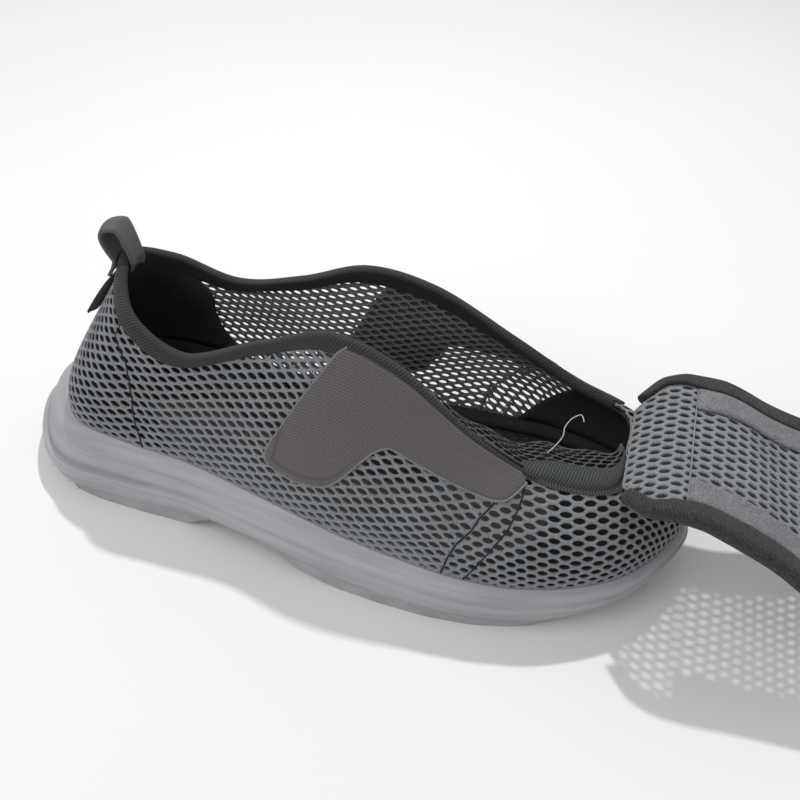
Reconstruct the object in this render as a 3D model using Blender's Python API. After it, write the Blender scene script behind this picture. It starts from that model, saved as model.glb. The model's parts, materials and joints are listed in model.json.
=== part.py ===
"""Post operative shoe for the right foot, opened, with its throat flap folded forward.

Metres, +X to the toe, +Y to the medial side, +Z up. The origin is on the floor under the
middle of the heel's flat spot. Every curved piece is read from three shapes: the sole's
outline, the wall of the upper between the feather line and the throat, and the flap.
"""
import bpy
import bmesh
import numpy as np

COLLECTION = "post_operative_shoe"

# Driving sizes
LENGTH = 0.285
HEEL_SEAT = 0.055
HALF_BALL = 0.0545
HEEL_STACK = 0.0373
SOLE_FLARE = 0.014
HEEL_HEIGHT = 0.0975
INSTEP_HEIGHT = 0.1015
THROAT_LENGTH = 0.207
THROAT_START = 0.045
THROAT_HALF = 0.033
FIT_GAP = 0.0003

# Sizes of single pieces
UPPER_WALL = 0.0022
LEDGE = 0.0038
FOOTBED_DROP = 0.0035
INSOLE_THICKNESS = 0.004
INSOLE_ROUND = 0.0012
INSOLE_CROWN = 0.0004
SIDE_GROOVE = 0.0011
TREAD_PITCH = 0.018
TREAD_GROOVE = 0.003
TREAD_RIM = 0.007
TREAD_DEPTH = 0.0015
BINDING_HEIGHT = 0.0052
BINDING_CLOTH = 0.0009
BINDING_BED = 0.00051
PATCH_CLOTH = 0.0012
FLAP_LENGTH = 0.119
FLAP_HALF = 0.0435
FLAP_RISE = 0.0112
FLAP_CLOTH = 0.0026
FLAP_TAPE = 0.0062
FLAP_TAPE_CLOTH = 0.0013
HOOK_WIDTH = 0.0115
HOOK_CLOTH = 0.0013
LOOP_WIDTH = 0.0135
LOOP_HEIGHT = 0.0135
LOOP_TUCK = 0.0095
LOOP_INNER_TUCK = 0.0035
LOOP_CLOTH = 0.0015
LOOP_LEAN = 0.22
LOOP_BULGE = 0.0040
TAB_WIDTH = 0.011
TAB_LENGTH = 0.021
TAB_CLOTH = 0.0012
TAB_SEAT = 0.0009
TAB_STAND = 0.0018
TAB_DROP = 0.004

# Counts of stations
AROUND = 84
WALL_LEVELS = 8
SPAN_STEPS = 24
PATCH_AROUND = 336
FINE_AROUND = 672

# Points closer than the first are one, edges that turn more than the second are sharp
MERGE = 1e-7
SHARP_TURN = 0.7

# The pads, as shares of LENGTH, and the places near their ends where sections stand closer
TREADS = (
    # name, start, end
    ("heel_tread", 0.0, 0.335),
    ("forefoot_tread", 0.42, 1.0),
)
TREAD_ENDS = (0.004, 0.012, 0.026)

# Largest shares of a pad: groove depth of its thickness, rim and groove flank of its width
TREAD_LIMITS = (0.4, 0.3, 0.1)

# Shares of the half round from the heel where the binding ends, lateral and medial
BINDING_ENDS = (0.82, 0.885)

# Shares of FLAP_LENGTH: both ends of the hook strips, and the stations of the flap
HOOK_SPAN = (0.17, 0.82)
FLAP_ROOT_PLACES = (0.0, 0.03)
FLAP_SIDE_PLACES = (0.06, 0.80, 14)
FLAP_END_PLACES = (0.87, 0.92, 0.96, 0.985, 1.0)

# The ring between base and belt: share of the rise and share of the inset
UNDER_STEP = (0.45, 0.3)

# How far up the foot bed's edge is widest, and how far in from its corners the tape's crest begins
INSOLE_BELLY = 0.35
CREST_SHARE = 0.25

# along and both sides: along is a share of LENGTH, the sides are shares of HALF_BALL
OUTLINE = (
    # along, lateral, medial
    (0.00, 0.000, 0.000),
    (0.04, -0.540, 0.485),
    (0.10, -0.800, 0.660),
    (0.20, -0.840, 0.730),
    (0.30, -0.845, 0.715),
    (0.40, -0.925, 0.685),
    (0.50, -1.020, 0.725),
    (0.60, -1.070, 0.835),
    (0.70, -1.080, 0.915),
    (0.78, -1.020, 0.950),
    (0.86, -0.860, 0.870),
    (0.93, -0.600, 0.680),
    (0.98, -0.210, 0.390),
    (1.00, 0.110, 0.160),
)

# heights are shares of HEEL_STACK
SOLE_HEIGHTS = (
    # along, ground, base, belt, feather
    (0.000, 0.090, 0.180, 0.310, 1.000),
    (0.050, 0.018, 0.155, 0.318, 0.975),
    (0.090, 0.000, 0.150, 0.322, 0.955),
    (0.200, 0.000, 0.170, 0.335, 0.905),
    (0.290, 0.000, 0.210, 0.340, 0.855),
    (0.335, 0.190, 0.245, 0.345, 0.825),
    (0.420, 0.215, 0.260, 0.350, 0.775),
    (0.465, 0.130, 0.240, 0.350, 0.755),
    (0.500, 0.060, 0.220, 0.345, 0.735),
    (0.540, 0.010, 0.170, 0.340, 0.705),
    (0.580, 0.000, 0.145, 0.330, 0.675),
    (0.800, 0.000, 0.135, 0.330, 0.560),
    (0.880, 0.045, 0.170, 0.350, 0.548),
    (0.940, 0.130, 0.240, 0.400, 0.545),
    (1.000, 0.240, 0.330, 0.450, 0.550),
)

# insets from the outline are shares of SOLE_FLARE, groove is a share of SIDE_GROOVE
SOLE_INSETS = (
    # along, ground, base, feather, groove
    (0.00, 0.80, 0.45, 1.38, 1.00),
    (0.05, 0.48, 0.28, 1.00, 1.00),
    (0.10, 0.32, 0.18, 0.76, 1.00),
    (0.20, 0.17, 0.10, 0.50, 1.00),
    (0.30, 0.15, 0.09, 0.46, 0.70),
    (0.40, 0.12, 0.07, 0.43, 0.25),
    (0.60, 0.09, 0.06, 0.36, 0.20),
    (0.80, 0.26, 0.14, 0.35, 0.20),
    (0.93, 0.70, 0.34, 0.29, 0.20),
    (1.00, 1.05, 0.52, 0.23, 0.20),
)

# side rings from the belt to the feather line: rise and inset are shares of what lies between
SIDE_STEPS = (
    # rise, inset, groove
    (0.00, 0.00, 0.0),
    (0.20, 0.08, 0.0),
    (0.26, 0.13, 1.0),
    (0.58, 0.40, 0.9),
    (0.66, 0.42, 0.0),
    (0.95, 0.90, 0.0),
    (1.00, 1.00, 0.0),
)

# along is a share of THROAT_LENGTH, the height is by_heel of HEEL_HEIGHT plus by_instep of
# INSTEP_HEIGHT, centre and sides are shares of THROAT_HALF
THROAT = (
    # along, by_heel, by_instep, centre, lateral, medial
    (0.000, 1.00, 0.000, 0.050, 0.000, 0.000),
    (0.058, 0.85, 0.057, -0.080, 0.660, 0.660),
    (0.176, 0.35, 0.440, -0.110, 0.820, 0.880),
    (0.325, 0.10, 0.788, -0.135, 0.650, 0.770),
    (0.458, 0.00, 1.000, -0.150, 0.675, 0.760),
    (0.585, 0.00, 0.944, -0.120, 0.785, 0.870),
    (0.750, 0.00, 0.735, -0.030, 0.990, 0.990),
    (0.880, 0.00, 0.596, 0.030, 0.965, 0.940),
    (0.990, 0.00, 0.557, 0.030, 0.680, 0.700),
    (1.000, 0.00, 0.557, 0.030, 0.000, 0.000),
)

# how the wall leaves the sole and reaches the throat, by share of the half round from the heel
WALL_BEND = (
    # round, foot_out, foot_rise, rim_out, rim_drop; the first two of the height between
    (0.00, -0.02, 0.26, 0.05, 0.30),
    (0.15, 0.04, 0.36, 0.34, 0.34),
    (0.35, 0.05, 0.36, 0.38, 0.36),
    (0.55, 0.05, 0.36, 0.40, 0.36),
    (0.75, 0.10, 0.42, 0.48, 0.22),
    (0.90, 0.12, 0.50, 0.52, 0.08),
    (1.00, 0.10, 0.55, 0.55, 0.04),
)

# both edges of each loop patch, as shares of the wall's height; the binding ends the upper one
LATERAL_PATCH = (
    # round, lower, upper
    (0.420, 0.310, 0.350),
    (0.428, 0.268, 0.480),
    (0.440, 0.245, 0.640),
    (0.457, 0.235, 0.810),
    (0.474, 0.245, 0.950),
    (0.493, 0.267, 1.000),
    (0.507, 0.310, 1.000),
    (0.536, 0.500, 1.000),
    (0.551, 0.590, 1.000),
    (0.570, 0.640, 1.000),
    (0.600, 0.636, 1.000),
    (0.700, 0.636, 1.000),
    (0.722, 0.660, 1.000),
    (0.745, 0.750, 1.000),
    (0.770, 0.880, 1.000),
)
MEDIAL_PATCH = (
    # round, lower, upper
    (0.455, 0.300, 0.350),
    (0.460, 0.240, 0.580),
    (0.470, 0.210, 0.800),
    (0.482, 0.200, 0.950),
    (0.495, 0.200, 1.000),
    (0.545, 0.210, 1.000),
    (0.562, 0.270, 1.000),
    (0.576, 0.420, 1.000),
    (0.590, 0.560, 1.000),
    (0.612, 0.600, 1.000),
    (0.700, 0.620, 1.000),
    (0.745, 0.720, 1.000),
    (0.775, 0.870, 1.000),
)

# the flap's middle line above the throat's front edge, and its half width:
# shares of FLAP_LENGTH, FLAP_RISE and FLAP_HALF
FLAP = (
    # forward, height, half
    (0.000, 0.115, 0.540),
    (0.045, 0.500, 0.700),
    (0.096, 0.785, 0.850),
    (0.162, 0.990, 0.885),
    (0.247, 0.955, 0.890),
    (0.331, 0.740, 0.900),
    (0.415, 0.390, 0.920),
    (0.500, 0.000, 0.950),
    (0.583, -0.380, 0.990),
    (0.710, -0.940, 1.000),
    (0.826, -1.450, 0.960),
    (0.922, -1.880, 0.820),
    (0.981, -2.130, 0.560),
    (1.000, -2.210, 0.300),
)


def column(table, index):
    """Return one column of a table as an array."""
    return np.array([row[index] for row in table], dtype=float)


def between(table, index, at):
    """Read a column at the given places with a monotone cubic, so that flats stay flat."""
    knots = column(table, 0)
    values = column(table, index)
    step = np.diff(knots)
    slope = np.diff(values) / step
    tangent = np.zeros(len(knots))
    tangent[0] = slope[0]
    tangent[-1] = slope[-1]
    same = slope[:-1] * slope[1:] > 0
    mean = 2.0 * slope[:-1] * slope[1:] / np.where(same, slope[:-1] + slope[1:], 1.0)
    tangent[1:-1] = np.where(same, mean, 0.0)
    at = np.clip(np.asarray(at, dtype=float), knots[0], knots[-1])
    cell = np.clip(np.searchsorted(knots, at, side="right") - 1, 0, len(knots) - 2)
    u = (at - knots[cell]) / step[cell]
    rise = (3.0 - 2.0 * u) * u * u
    lead = u * (1.0 - u) * (1.0 - u) * step[cell]
    tail = u * u * (u - 1.0) * step[cell]
    blend = values[cell] + (values[cell + 1] - values[cell]) * rise
    return blend + lead * tangent[cell] + tail * tangent[cell + 1]


def closed_spline(points):
    """Run a smooth closed curve through the points and return it finely divided."""
    before = np.roll(points, 1, axis=0)
    after = np.roll(points, -1, axis=0)
    beyond = np.roll(points, -2, axis=0)
    span = np.linalg.norm(after - points, axis=1) ** 0.5
    span_before = np.roll(span, 1)
    span_after = np.roll(span, -1)
    start = (points - before) / span_before[:, None] - (after - before) / (span_before + span)[:, None]
    start = (start + (after - points) / span[:, None]) * span[:, None]
    end = (after - points) / span[:, None] - (beyond - points) / (span + span_after)[:, None]
    end = (end + (beyond - after) / span_after[:, None]) * span[:, None]
    u = np.linspace(0.0, 1.0, SPAN_STEPS, endpoint=False)[None, :, None]
    p0 = points[:, None, :]
    p1 = after[:, None, :]
    d0 = start[:, None, :]
    d1 = end[:, None, :]
    curve = p0 + d0 * u + (3 * (p1 - p0) - 2 * d0 - d1) * u ** 2 + (2 * (p0 - p1) + d0 + d1) * u ** 3
    return curve.reshape(-1, points.shape[1])


def even_halves(curve, turn, count):
    """Divide a closed curve evenly from its start to the turning point and evenly back."""
    loop = np.vstack([curve, curve[:1]])
    run = np.concatenate([[0.0], np.cumsum(np.linalg.norm(np.diff(loop, axis=0), axis=1))])
    half = count // 2
    out = np.linspace(0.0, run[turn], half, endpoint=False)
    back = np.linspace(run[turn], run[-1], count - half, endpoint=False)
    at = np.concatenate([out, back])
    return np.column_stack([np.interp(at, run, loop[:, i]) for i in range(loop.shape[1])])


def side_share(count):
    """Return the share of the half round, 0 at the heel and 1 at the toe, for each station."""
    half = count // 2
    rising = np.arange(half) / half
    return np.concatenate([rising, 1.0 - rising])


def outline_ring(count):
    """Return the sole's outline, its outward normals and the share along the length."""
    along = column(OUTLINE, 0) * LENGTH - HEEL_SEAT
    lateral = column(OUTLINE, 1) * HALF_BALL
    medial = column(OUTLINE, 2) * HALF_BALL
    tip = 0.5 * (lateral[-1] + medial[-1])
    out = np.column_stack([along[:-1], lateral[:-1]])
    toe = np.array([[along[-1], tip]])
    back = np.column_stack([along[1:-1], medial[1:-1]])[::-1]
    points = np.vstack([out, toe, back])
    ring = even_halves(closed_spline(points), len(out) * SPAN_STEPS, count)
    ahead = np.roll(ring, -1, axis=0) - np.roll(ring, 1, axis=0)
    normal = np.column_stack([ahead[:, 1], -ahead[:, 0]])
    normal /= np.linalg.norm(normal, axis=1)[:, None]
    share = (ring[:, 0] + HEEL_SEAT) / LENGTH
    return ring, normal, share


def inset_ring(count, inset, height):
    """Return the outline drawn in by inset at each station and lifted to height."""
    ring, normal, _ = outline_ring(count)
    flat = ring - normal * inset[:, None]
    return np.column_stack([flat, height])


def sole_height(name, share):
    """Return one of the sole's heights, in metres, at shares along the length."""
    index = {"ground": 1, "base": 2, "belt": 3, "feather": 4}[name]
    return between(SOLE_HEIGHTS, index, share) * HEEL_STACK


def sole_inset(name, share):
    """Return one of the sole's insets from the outline, in metres."""
    index = {"ground": 1, "base": 2, "feather": 3}[name]
    return between(SOLE_INSETS, index, share) * SOLE_FLARE


def feather_ring(count, inset=0.0, lift=0.0):
    """Return the line where the wall of the upper meets the sole."""
    _, _, share = outline_ring(count)
    return inset_ring(count, sole_inset("feather", share) + inset, sole_height("feather", share) + lift)


def throat_heights():
    """Return the height of the throat's edge at each row of its table."""
    return column(THROAT, 1) * HEEL_HEIGHT + column(THROAT, 2) * INSTEP_HEIGHT


def throat_ring(count):
    """Return the edge of the throat, from the heel round the lateral side to the front and back."""
    along = column(THROAT, 0) * THROAT_LENGTH + THROAT_START - HEEL_SEAT
    height = throat_heights()
    middle = column(THROAT, 3) * THROAT_HALF
    lateral = middle - column(THROAT, 4) * THROAT_HALF
    medial = middle + column(THROAT, 5) * THROAT_HALF
    out = np.column_stack([along, lateral, height])
    back = np.column_stack([along, medial, height])[1:-1][::-1]
    curve = closed_spline(np.vstack([out, back]))
    return even_halves(curve, (len(out) - 1) * SPAN_STEPS, count)


def wall_grid(count, levels, depth=0.0, lower=0.0, upper=1.0):
    """Return the upper's wall as rings from the sole to the throat, moved inward by depth.

    lower and upper are shares of the wall's height, single values or one for each station.
    """
    foot = feather_ring(count, 0.0, FIT_GAP)
    rim = throat_ring(count)
    _, normal, _ = outline_ring(count)
    share = side_share(count)
    out = np.column_stack([normal, np.zeros(count)])
    up = np.array([0.0, 0.0, 1.0])
    rise = (rim[:, 2] - foot[:, 2])[:, None]
    plan = (foot - rim) * np.array([1.0, 1.0, 0.0])
    low = foot + out * rise * between(WALL_BEND, 1, share)[:, None]
    low = low + up * rise * between(WALL_BEND, 2, share)[:, None]
    high = rim + plan * between(WALL_BEND, 3, share)[:, None]
    high = high - up * rise * between(WALL_BEND, 4, share)[:, None]
    steps = np.linspace(0.0, 1.0, levels)[:, None]
    lower = np.broadcast_to(np.asarray(lower, dtype=float), (count,))
    upper = np.broadcast_to(np.asarray(upper, dtype=float), (count,))
    v = (lower[None, :] + (upper - lower)[None, :] * steps)[:, :, None]
    grid = foot * (1 - v) ** 3 + 3 * low * v * (1 - v) ** 2 + 3 * high * v ** 2 * (1 - v) + rim * v ** 3
    along_v = 3 * (low - foot) * (1 - v) ** 2 + 6 * (high - low) * v * (1 - v) + 3 * (rim - high) * v ** 2
    if np.isscalar(depth) and depth == 0.0:
        return grid
    around = np.roll(grid, -1, axis=1) - np.roll(grid, 1, axis=1)
    face = np.cross(around, along_v)
    face /= np.linalg.norm(face, axis=2)[:, :, None]
    return grid - face * np.asarray(depth)


def material(name, colour, roughness):
    """Make the Principled material of one sub-part."""
    made = bpy.data.materials.new(name)
    made.use_nodes = True
    shader = made.node_tree.nodes["Principled BSDF"]
    shader.inputs["Base Color"].default_value = (*colour, 1.0)
    shader.inputs["Roughness"].default_value = roughness
    made.diffuse_color = (*colour, 1.0)
    return made


def solid(name, vertices, faces, surface, smooth=True):
    """Make one closed body from vertices and faces, with its faces pointing out."""
    body = bmesh.new()
    made = [body.verts.new(v) for v in vertices]
    for face in faces:
        body.faces.new([made[i] for i in face])
    bmesh.ops.remove_doubles(body, verts=body.verts, dist=MERGE)
    bmesh.ops.recalc_face_normals(body, faces=body.faces)
    mesh = bpy.data.meshes.new(name)
    body.to_mesh(mesh)
    body.free()
    mesh.materials.append(surface)
    if smooth:
        mesh.shade_smooth()
        mesh.set_sharp_from_angle(angle=SHARP_TURN)
    made_object = bpy.data.objects.new(name, mesh)
    bpy.data.collections[COLLECTION].objects.link(made_object)
    return made_object


def ring_faces(rings, around, closed_rings=False):
    """Return the quads between neighbouring rings of the given number of stations."""
    faces = []
    last_ring = rings if closed_rings else rings - 1
    for r in range(last_ring):
        for k in range(around):
            a = r * around + k
            b = r * around + (k + 1) % around
            c = ((r + 1) % rings) * around + (k + 1) % around
            d = ((r + 1) % rings) * around + k
            faces.append((a, b, c, d))
    return faces


def cap_ring(vertices, faces, first, around, strips):
    """Close a ring that starts at vertex first by strips between its two sides."""
    half = around // 2
    rows = []
    for k in range(1, half):
        left = first + k
        right = first + around - k
        row = [left]
        for s in range(1, strips):
            share = s / strips
            row.append(len(vertices))
            vertices.append(vertices[left] * (1.0 - share) + vertices[right] * share)
        row.append(right)
        rows.append(row)
    for near, far in zip(rows[:-1], rows[1:]):
        for s in range(strips):
            faces.append((near[s], far[s], far[s + 1], near[s + 1]))
    for s in range(strips):
        faces.append((first, rows[0][s], rows[0][s + 1]))
        faces.append((first + half, rows[-1][s + 1], rows[-1][s]))


def ring_body(name, rings, surface, strips=3):
    """Make a body from stacked rings and close its first and last ring."""
    around = len(rings[0])
    vertices = [v for ring in rings for v in ring]
    faces = ring_faces(len(rings), around)
    cap_ring(vertices, faces, 0, around, strips)
    cap_ring(vertices, faces, (len(rings) - 1) * around, around, strips)
    return solid(name, vertices, faces, surface)


def section_body(name, sections, surface, smooth=True):
    """Make a body from closed sections in a row, with a flat cap on each end."""
    sections = np.asarray(sections)
    count, around, _ = sections.shape
    vertices = list(sections.reshape(-1, 3))
    faces = ring_faces(count, around)
    faces.append(tuple(range(around)))
    faces.append(tuple((count - 1) * around + k for k in range(around)))
    return solid(name, vertices, faces, surface, smooth)


def sheet_body(name, outer, inner, surface):
    """Make a thin body between two grids of the same size, closed at all four edges."""
    rows, columns, _ = outer.shape
    loop = np.concatenate([outer, inner[:, ::-1]], axis=1)
    return section_body(name, loop.reshape(rows, 2 * columns, 3), surface)


def make_midsole(surface):
    """Model the moulded sole unit: flared side with its steps, arch, and a dish for the insole."""
    _, _, share = outline_ring(AROUND)
    base = sole_height("base", share)
    belt = sole_height("belt", share)
    feather = sole_height("feather", share)
    base_in = sole_inset("base", share)
    feather_in = sole_inset("feather", share)
    groove = between(SOLE_INSETS, 4, share) * SIDE_GROOVE
    under_rise, under_inset = UNDER_STEP
    rings = [
        inset_ring(AROUND, base_in, base),
        inset_ring(AROUND, base_in * under_inset, base + under_rise * (belt - base)),
    ]
    for rise, inset, cut in SIDE_STEPS:
        rings.append(inset_ring(AROUND, feather_in * inset + groove * cut, belt + (feather - belt) * rise))
    rings.append(inset_ring(AROUND, feather_in + LEDGE, feather))
    floor = feather - FOOTBED_DROP - INSOLE_THICKNESS
    rings.append(inset_ring(AROUND, feather_in + LEDGE + FIT_GAP, floor))
    return ring_body("midsole", rings, surface)


def tread_edges():
    """Return a function that gives a pad's four edge points at a place along X.

    The points are the ground edge and the top edge on the lateral side, then on the medial side.
    The bounds of the ground edge along X come with it.
    """
    half = FINE_AROUND // 2
    _, _, share = outline_ring(FINE_AROUND)
    ground = inset_ring(FINE_AROUND, sole_inset("ground", share), sole_height("ground", share))
    top = inset_ring(FINE_AROUND, sole_inset("base", share) + FIT_GAP, sole_height("base", share) - FIT_GAP)
    lateral = np.arange(half + 1)
    medial = np.r_[0, np.arange(FINE_AROUND - 1, half - 1, -1)]

    def at(x):
        points = []
        for side in (lateral, medial):
            run = np.maximum.accumulate(ground[side, 0])
            for ring in (ground, top):
                points.append(np.array([np.interp(x, run, ring[side, i]) for i in range(3)]))
        return points

    return at, ground[:, 0].min(), ground[:, 0].max()


def tread_stations(start, end):
    """Return the places along X of a pad's sections and the middles of its grooves."""
    near = LENGTH * np.array(TREAD_ENDS)
    places = np.concatenate([np.linspace(start, end, 9), start + near, end - near])
    first = np.ceil((start + TREAD_PITCH) / TREAD_PITCH) * TREAD_PITCH + TREAD_PITCH / 2
    cuts = np.arange(first, end - TREAD_PITCH, TREAD_PITCH)
    apart = np.abs(places[:, None] - cuts[None, :]).min(axis=1)
    places = places[apart > TREAD_GROOVE]
    half = TREAD_GROOVE / 2
    edges = [cuts - half, cuts - half + FIT_GAP, cuts + half - FIT_GAP, cuts + half]
    return np.sort(np.concatenate([places] + edges)), cuts


def make_tread(name, start_share, end_share, surface):
    """Model one outsole pad with its transverse grooves between two shares of the length."""
    edges_at, low_x, high_x = tread_edges()
    start = low_x + FIT_GAP if start_share <= 0.0 else start_share * LENGTH - HEEL_SEAT
    end = high_x - FIT_GAP if end_share >= 1.0 else end_share * LENGTH - HEEL_SEAT
    places, cuts = tread_stations(start, end)
    most_depth, most_rim, most_slip = TREAD_LIMITS
    sections = []
    for x in places:
        low, low_top, high, high_top = edges_at(x)
        in_groove = np.any(np.abs(cuts - x) < TREAD_GROOVE / 2 - FIT_GAP / 2)
        lift = min(TREAD_DEPTH, most_depth * (low_top[2] - low[2])) if in_groove else 0.0
        rim = min(TREAD_RIM / (high[1] - low[1]), most_rim)
        slip = min(FIT_GAP / (high[1] - low[1]), most_slip)
        up = np.array([0.0, 0.0, lift])
        across = high - low
        sections.append([
            low_top,
            low,
            low + rim * across,
            low + (rim + slip) * across + up,
            high - (rim + slip) * across + up,
            high - rim * across,
            high,
            high_top,
            0.5 * (low_top + high_top),
        ])
    return section_body(name, sections, surface, smooth=False)


def make_insole(surface):
    """Model the foot bed that lies in the sole's dish, inside the wall."""
    count = AROUND // 2
    _, _, share = outline_ring(count)
    inset = sole_inset("feather", share) + LEDGE + 3 * FIT_GAP
    floor = sole_height("feather", share) - FOOTBED_DROP - INSOLE_THICKNESS
    rings = [
        inset_ring(count, inset + 2 * FIT_GAP, floor + FIT_GAP),
        inset_ring(count, inset, floor + INSOLE_BELLY * INSOLE_THICKNESS),
        inset_ring(count, inset + FIT_GAP, floor + INSOLE_THICKNESS),
        inset_ring(count, inset + INSOLE_ROUND, floor + INSOLE_THICKNESS + INSOLE_CROWN),
    ]
    return ring_body("insole", rings, surface, strips=2)


def make_upper(surface):
    """Model the upper as one hollow wall, open at the throat and underneath."""
    outer = wall_grid(AROUND, WALL_LEVELS)
    inner = wall_grid(AROUND, WALL_LEVELS, UPPER_WALL)
    inner[0, :, 2] = outer[0, :, 2]
    rings = np.concatenate([outer, inner[::-1]])
    faces = ring_faces(len(rings), AROUND, closed_rings=True)
    return solid("upper", list(rings.reshape(-1, 3)), faces, surface)


def make_binding(surface):
    """Model the folded tape over the throat's edge, open at the front where the flap hangs."""
    foot = feather_ring(AROUND)
    rim = throat_ring(AROUND)
    height = np.linalg.norm(rim - foot, axis=1)
    lower = 1.0 - BINDING_HEIGHT / height
    out_face = wall_grid(AROUND, 3, -(BINDING_BED + BINDING_CLOTH), lower)
    out_bed = wall_grid(AROUND, 3, -BINDING_BED, lower)
    in_bed = wall_grid(AROUND, 3, UPPER_WALL + BINDING_BED, lower)
    in_face = wall_grid(AROUND, 3, UPPER_WALL + BINDING_BED + BINDING_CLOTH, lower)
    crest = out_face[2] - out_face[1]
    crest /= np.linalg.norm(crest, axis=1)[:, None]
    lift = crest * BINDING_CLOTH
    seat = crest * FIT_GAP
    section = np.stack([
        out_face[0], out_face[1], out_face[2],
        out_face[2] + (in_face[2] - out_face[2]) * CREST_SHARE + lift + seat,
        in_face[2] + (out_face[2] - in_face[2]) * CREST_SHARE + lift + seat,
        in_face[2], in_face[1], in_face[0],
        in_bed[0], in_bed[1], in_bed[2] + seat,
        out_bed[2] + seat, out_bed[1], out_bed[0],
    ], axis=1)
    share = side_share(AROUND)
    half = AROUND // 2
    lateral_end = int(np.searchsorted(share[:half], BINDING_ENDS[0]))
    medial_end = half + int(np.searchsorted(-share[half:], -BINDING_ENDS[1]))
    keep = list(range(medial_end, AROUND)) + list(range(0, lateral_end + 1))
    return section_body("binding", section[keep], surface)


def make_patch(name, side, edges, surface):
    """Model the loop patch on the outside of one side wall."""
    share = side_share(PATCH_AROUND)
    inside = (share >= edges[0][0]) & (share <= edges[-1][0])
    turn = PATCH_AROUND // 2
    station = np.arange(PATCH_AROUND)
    on_side = station < turn if side < 0 else station > turn
    keep = np.flatnonzero(inside & on_side)[::2]
    height = np.linalg.norm(throat_ring(PATCH_AROUND) - feather_ring(PATCH_AROUND), axis=1)
    bound = 1.0 - (BINDING_HEIGHT + 3 * FIT_GAP) / height
    upper = np.minimum(between(edges, 2, share), bound)
    lower = np.minimum(between(edges, 1, share), upper - PATCH_CLOTH / height)
    outer = wall_grid(PATCH_AROUND, 6, -(FIT_GAP + PATCH_CLOTH), lower, upper)[:, keep]
    inner = wall_grid(PATCH_AROUND, 6, -FIT_GAP, lower, upper)[:, keep]
    outer = outer.transpose(1, 0, 2)
    inner = inner.transpose(1, 0, 2)
    return sheet_body(name, outer, inner, surface)


def flap_grid(forward, across, lift=0.0):
    """Return points of the flap's middle sheet at shares forward and metres across, lifted."""
    root = THROAT_START + THROAT_LENGTH - HEEL_SEAT
    edge = throat_heights()[-1]
    step = 1e-3
    x = root + forward * FLAP_LENGTH
    z = edge + between(FLAP, 1, forward) * FLAP_RISE
    ahead = (between(FLAP, 1, np.minimum(forward + step, 1.0)) * FLAP_RISE
             - between(FLAP, 1, np.maximum(forward - step, 0.0)) * FLAP_RISE)
    run = (np.minimum(forward + step, 1.0) - np.maximum(forward - step, 0.0)) * FLAP_LENGTH
    length = np.hypot(run, ahead)
    across = np.asarray(across, dtype=float)
    points = np.stack([
        (x - ahead / length * lift)[:, None] + 0.0 * across,
        across,
        (z + run / length * lift)[:, None] + 0.0 * across,
    ], axis=2)
    return points


def flap_half(forward):
    """Return the flap's half width, in metres."""
    return between(FLAP, 2, forward) * FLAP_HALF


def flap_places():
    """Return the shares forward of the flap's stations, closer at its root and its round end."""
    return np.concatenate([FLAP_ROOT_PLACES, np.linspace(*FLAP_SIDE_PLACES), FLAP_END_PLACES])


def make_flap(surface):
    """Model the flap as a thin sheet that rises from the throat's front and falls forward."""
    forward = flap_places()
    width = flap_half(forward)[:, None] * np.linspace(-1.0, 1.0, 7)[None, :]
    top = flap_grid(forward, width, FLAP_CLOTH / 2)
    bottom = flap_grid(forward, width, -FLAP_CLOTH / 2)
    return sheet_body("flap", top, bottom, surface)


def make_hook_strip(name, side, surface):
    """Model one hook strip on the flap's upturned face, beside its tape."""
    places = flap_places()
    forward = places[(places > HOOK_SPAN[0]) & (places < HOOK_SPAN[1])]
    half = flap_half(forward)
    slant = np.hypot(1.0, np.gradient(half, forward * FLAP_LENGTH))
    inner = half - (FLAP_TAPE + 3 * FIT_GAP) * slant - HOOK_WIDTH
    width = side * (inner[:, None] + HOOK_WIDTH * np.linspace(0.0, 1.0, 3)[None, :])
    bed = FLAP_CLOTH / 2 + FIT_GAP
    top = flap_grid(forward, width, bed + HOOK_CLOTH)
    bottom = flap_grid(forward, width, bed)
    return sheet_body(name, top, bottom, surface)


def make_flap_tape(surface):
    """Model the folded tape round the flap's two sides and its rounded end."""
    forward = flap_places()[1:]
    half = flap_half(forward)
    edge = np.column_stack([forward * FLAP_LENGTH, half])
    edge = np.vstack([edge * (1, -1), edge[::-1]])
    ahead = np.gradient(edge, axis=0)
    normal = np.column_stack([ahead[:, 1], -ahead[:, 0]])
    normal /= np.linalg.norm(normal, axis=1)[:, None]
    bed = FLAP_CLOTH / 2 + 2 * FIT_GAP
    face = bed + FLAP_TAPE_CLOTH
    profile = (
        (-FLAP_TAPE, bed), (-FLAP_TAPE, face), (-FLAP_TAPE / 2, face), (FIT_GAP, face),
        (FIT_GAP + FLAP_TAPE_CLOTH, 0.0),
        (FIT_GAP, -face), (-FLAP_TAPE / 2, -face), (-FLAP_TAPE, -face), (-FLAP_TAPE, -bed),
        (-FLAP_TAPE / 2, -bed), (FIT_GAP, -bed), (FIT_GAP, bed), (-FLAP_TAPE / 2, bed),
    )
    sections = []
    for out, lift in profile:
        place = edge + normal * out
        share = place[:, 0] / FLAP_LENGTH
        points = flap_grid(np.clip(share, 0.0, 1.0), place[:, 1:2], lift)[:, 0]
        points[:, 0] += np.maximum(share - 1.0, 0.0) * FLAP_LENGTH
        sections.append(points)
    return section_body("flap_tape", np.stack(sections, axis=1), surface)


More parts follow.
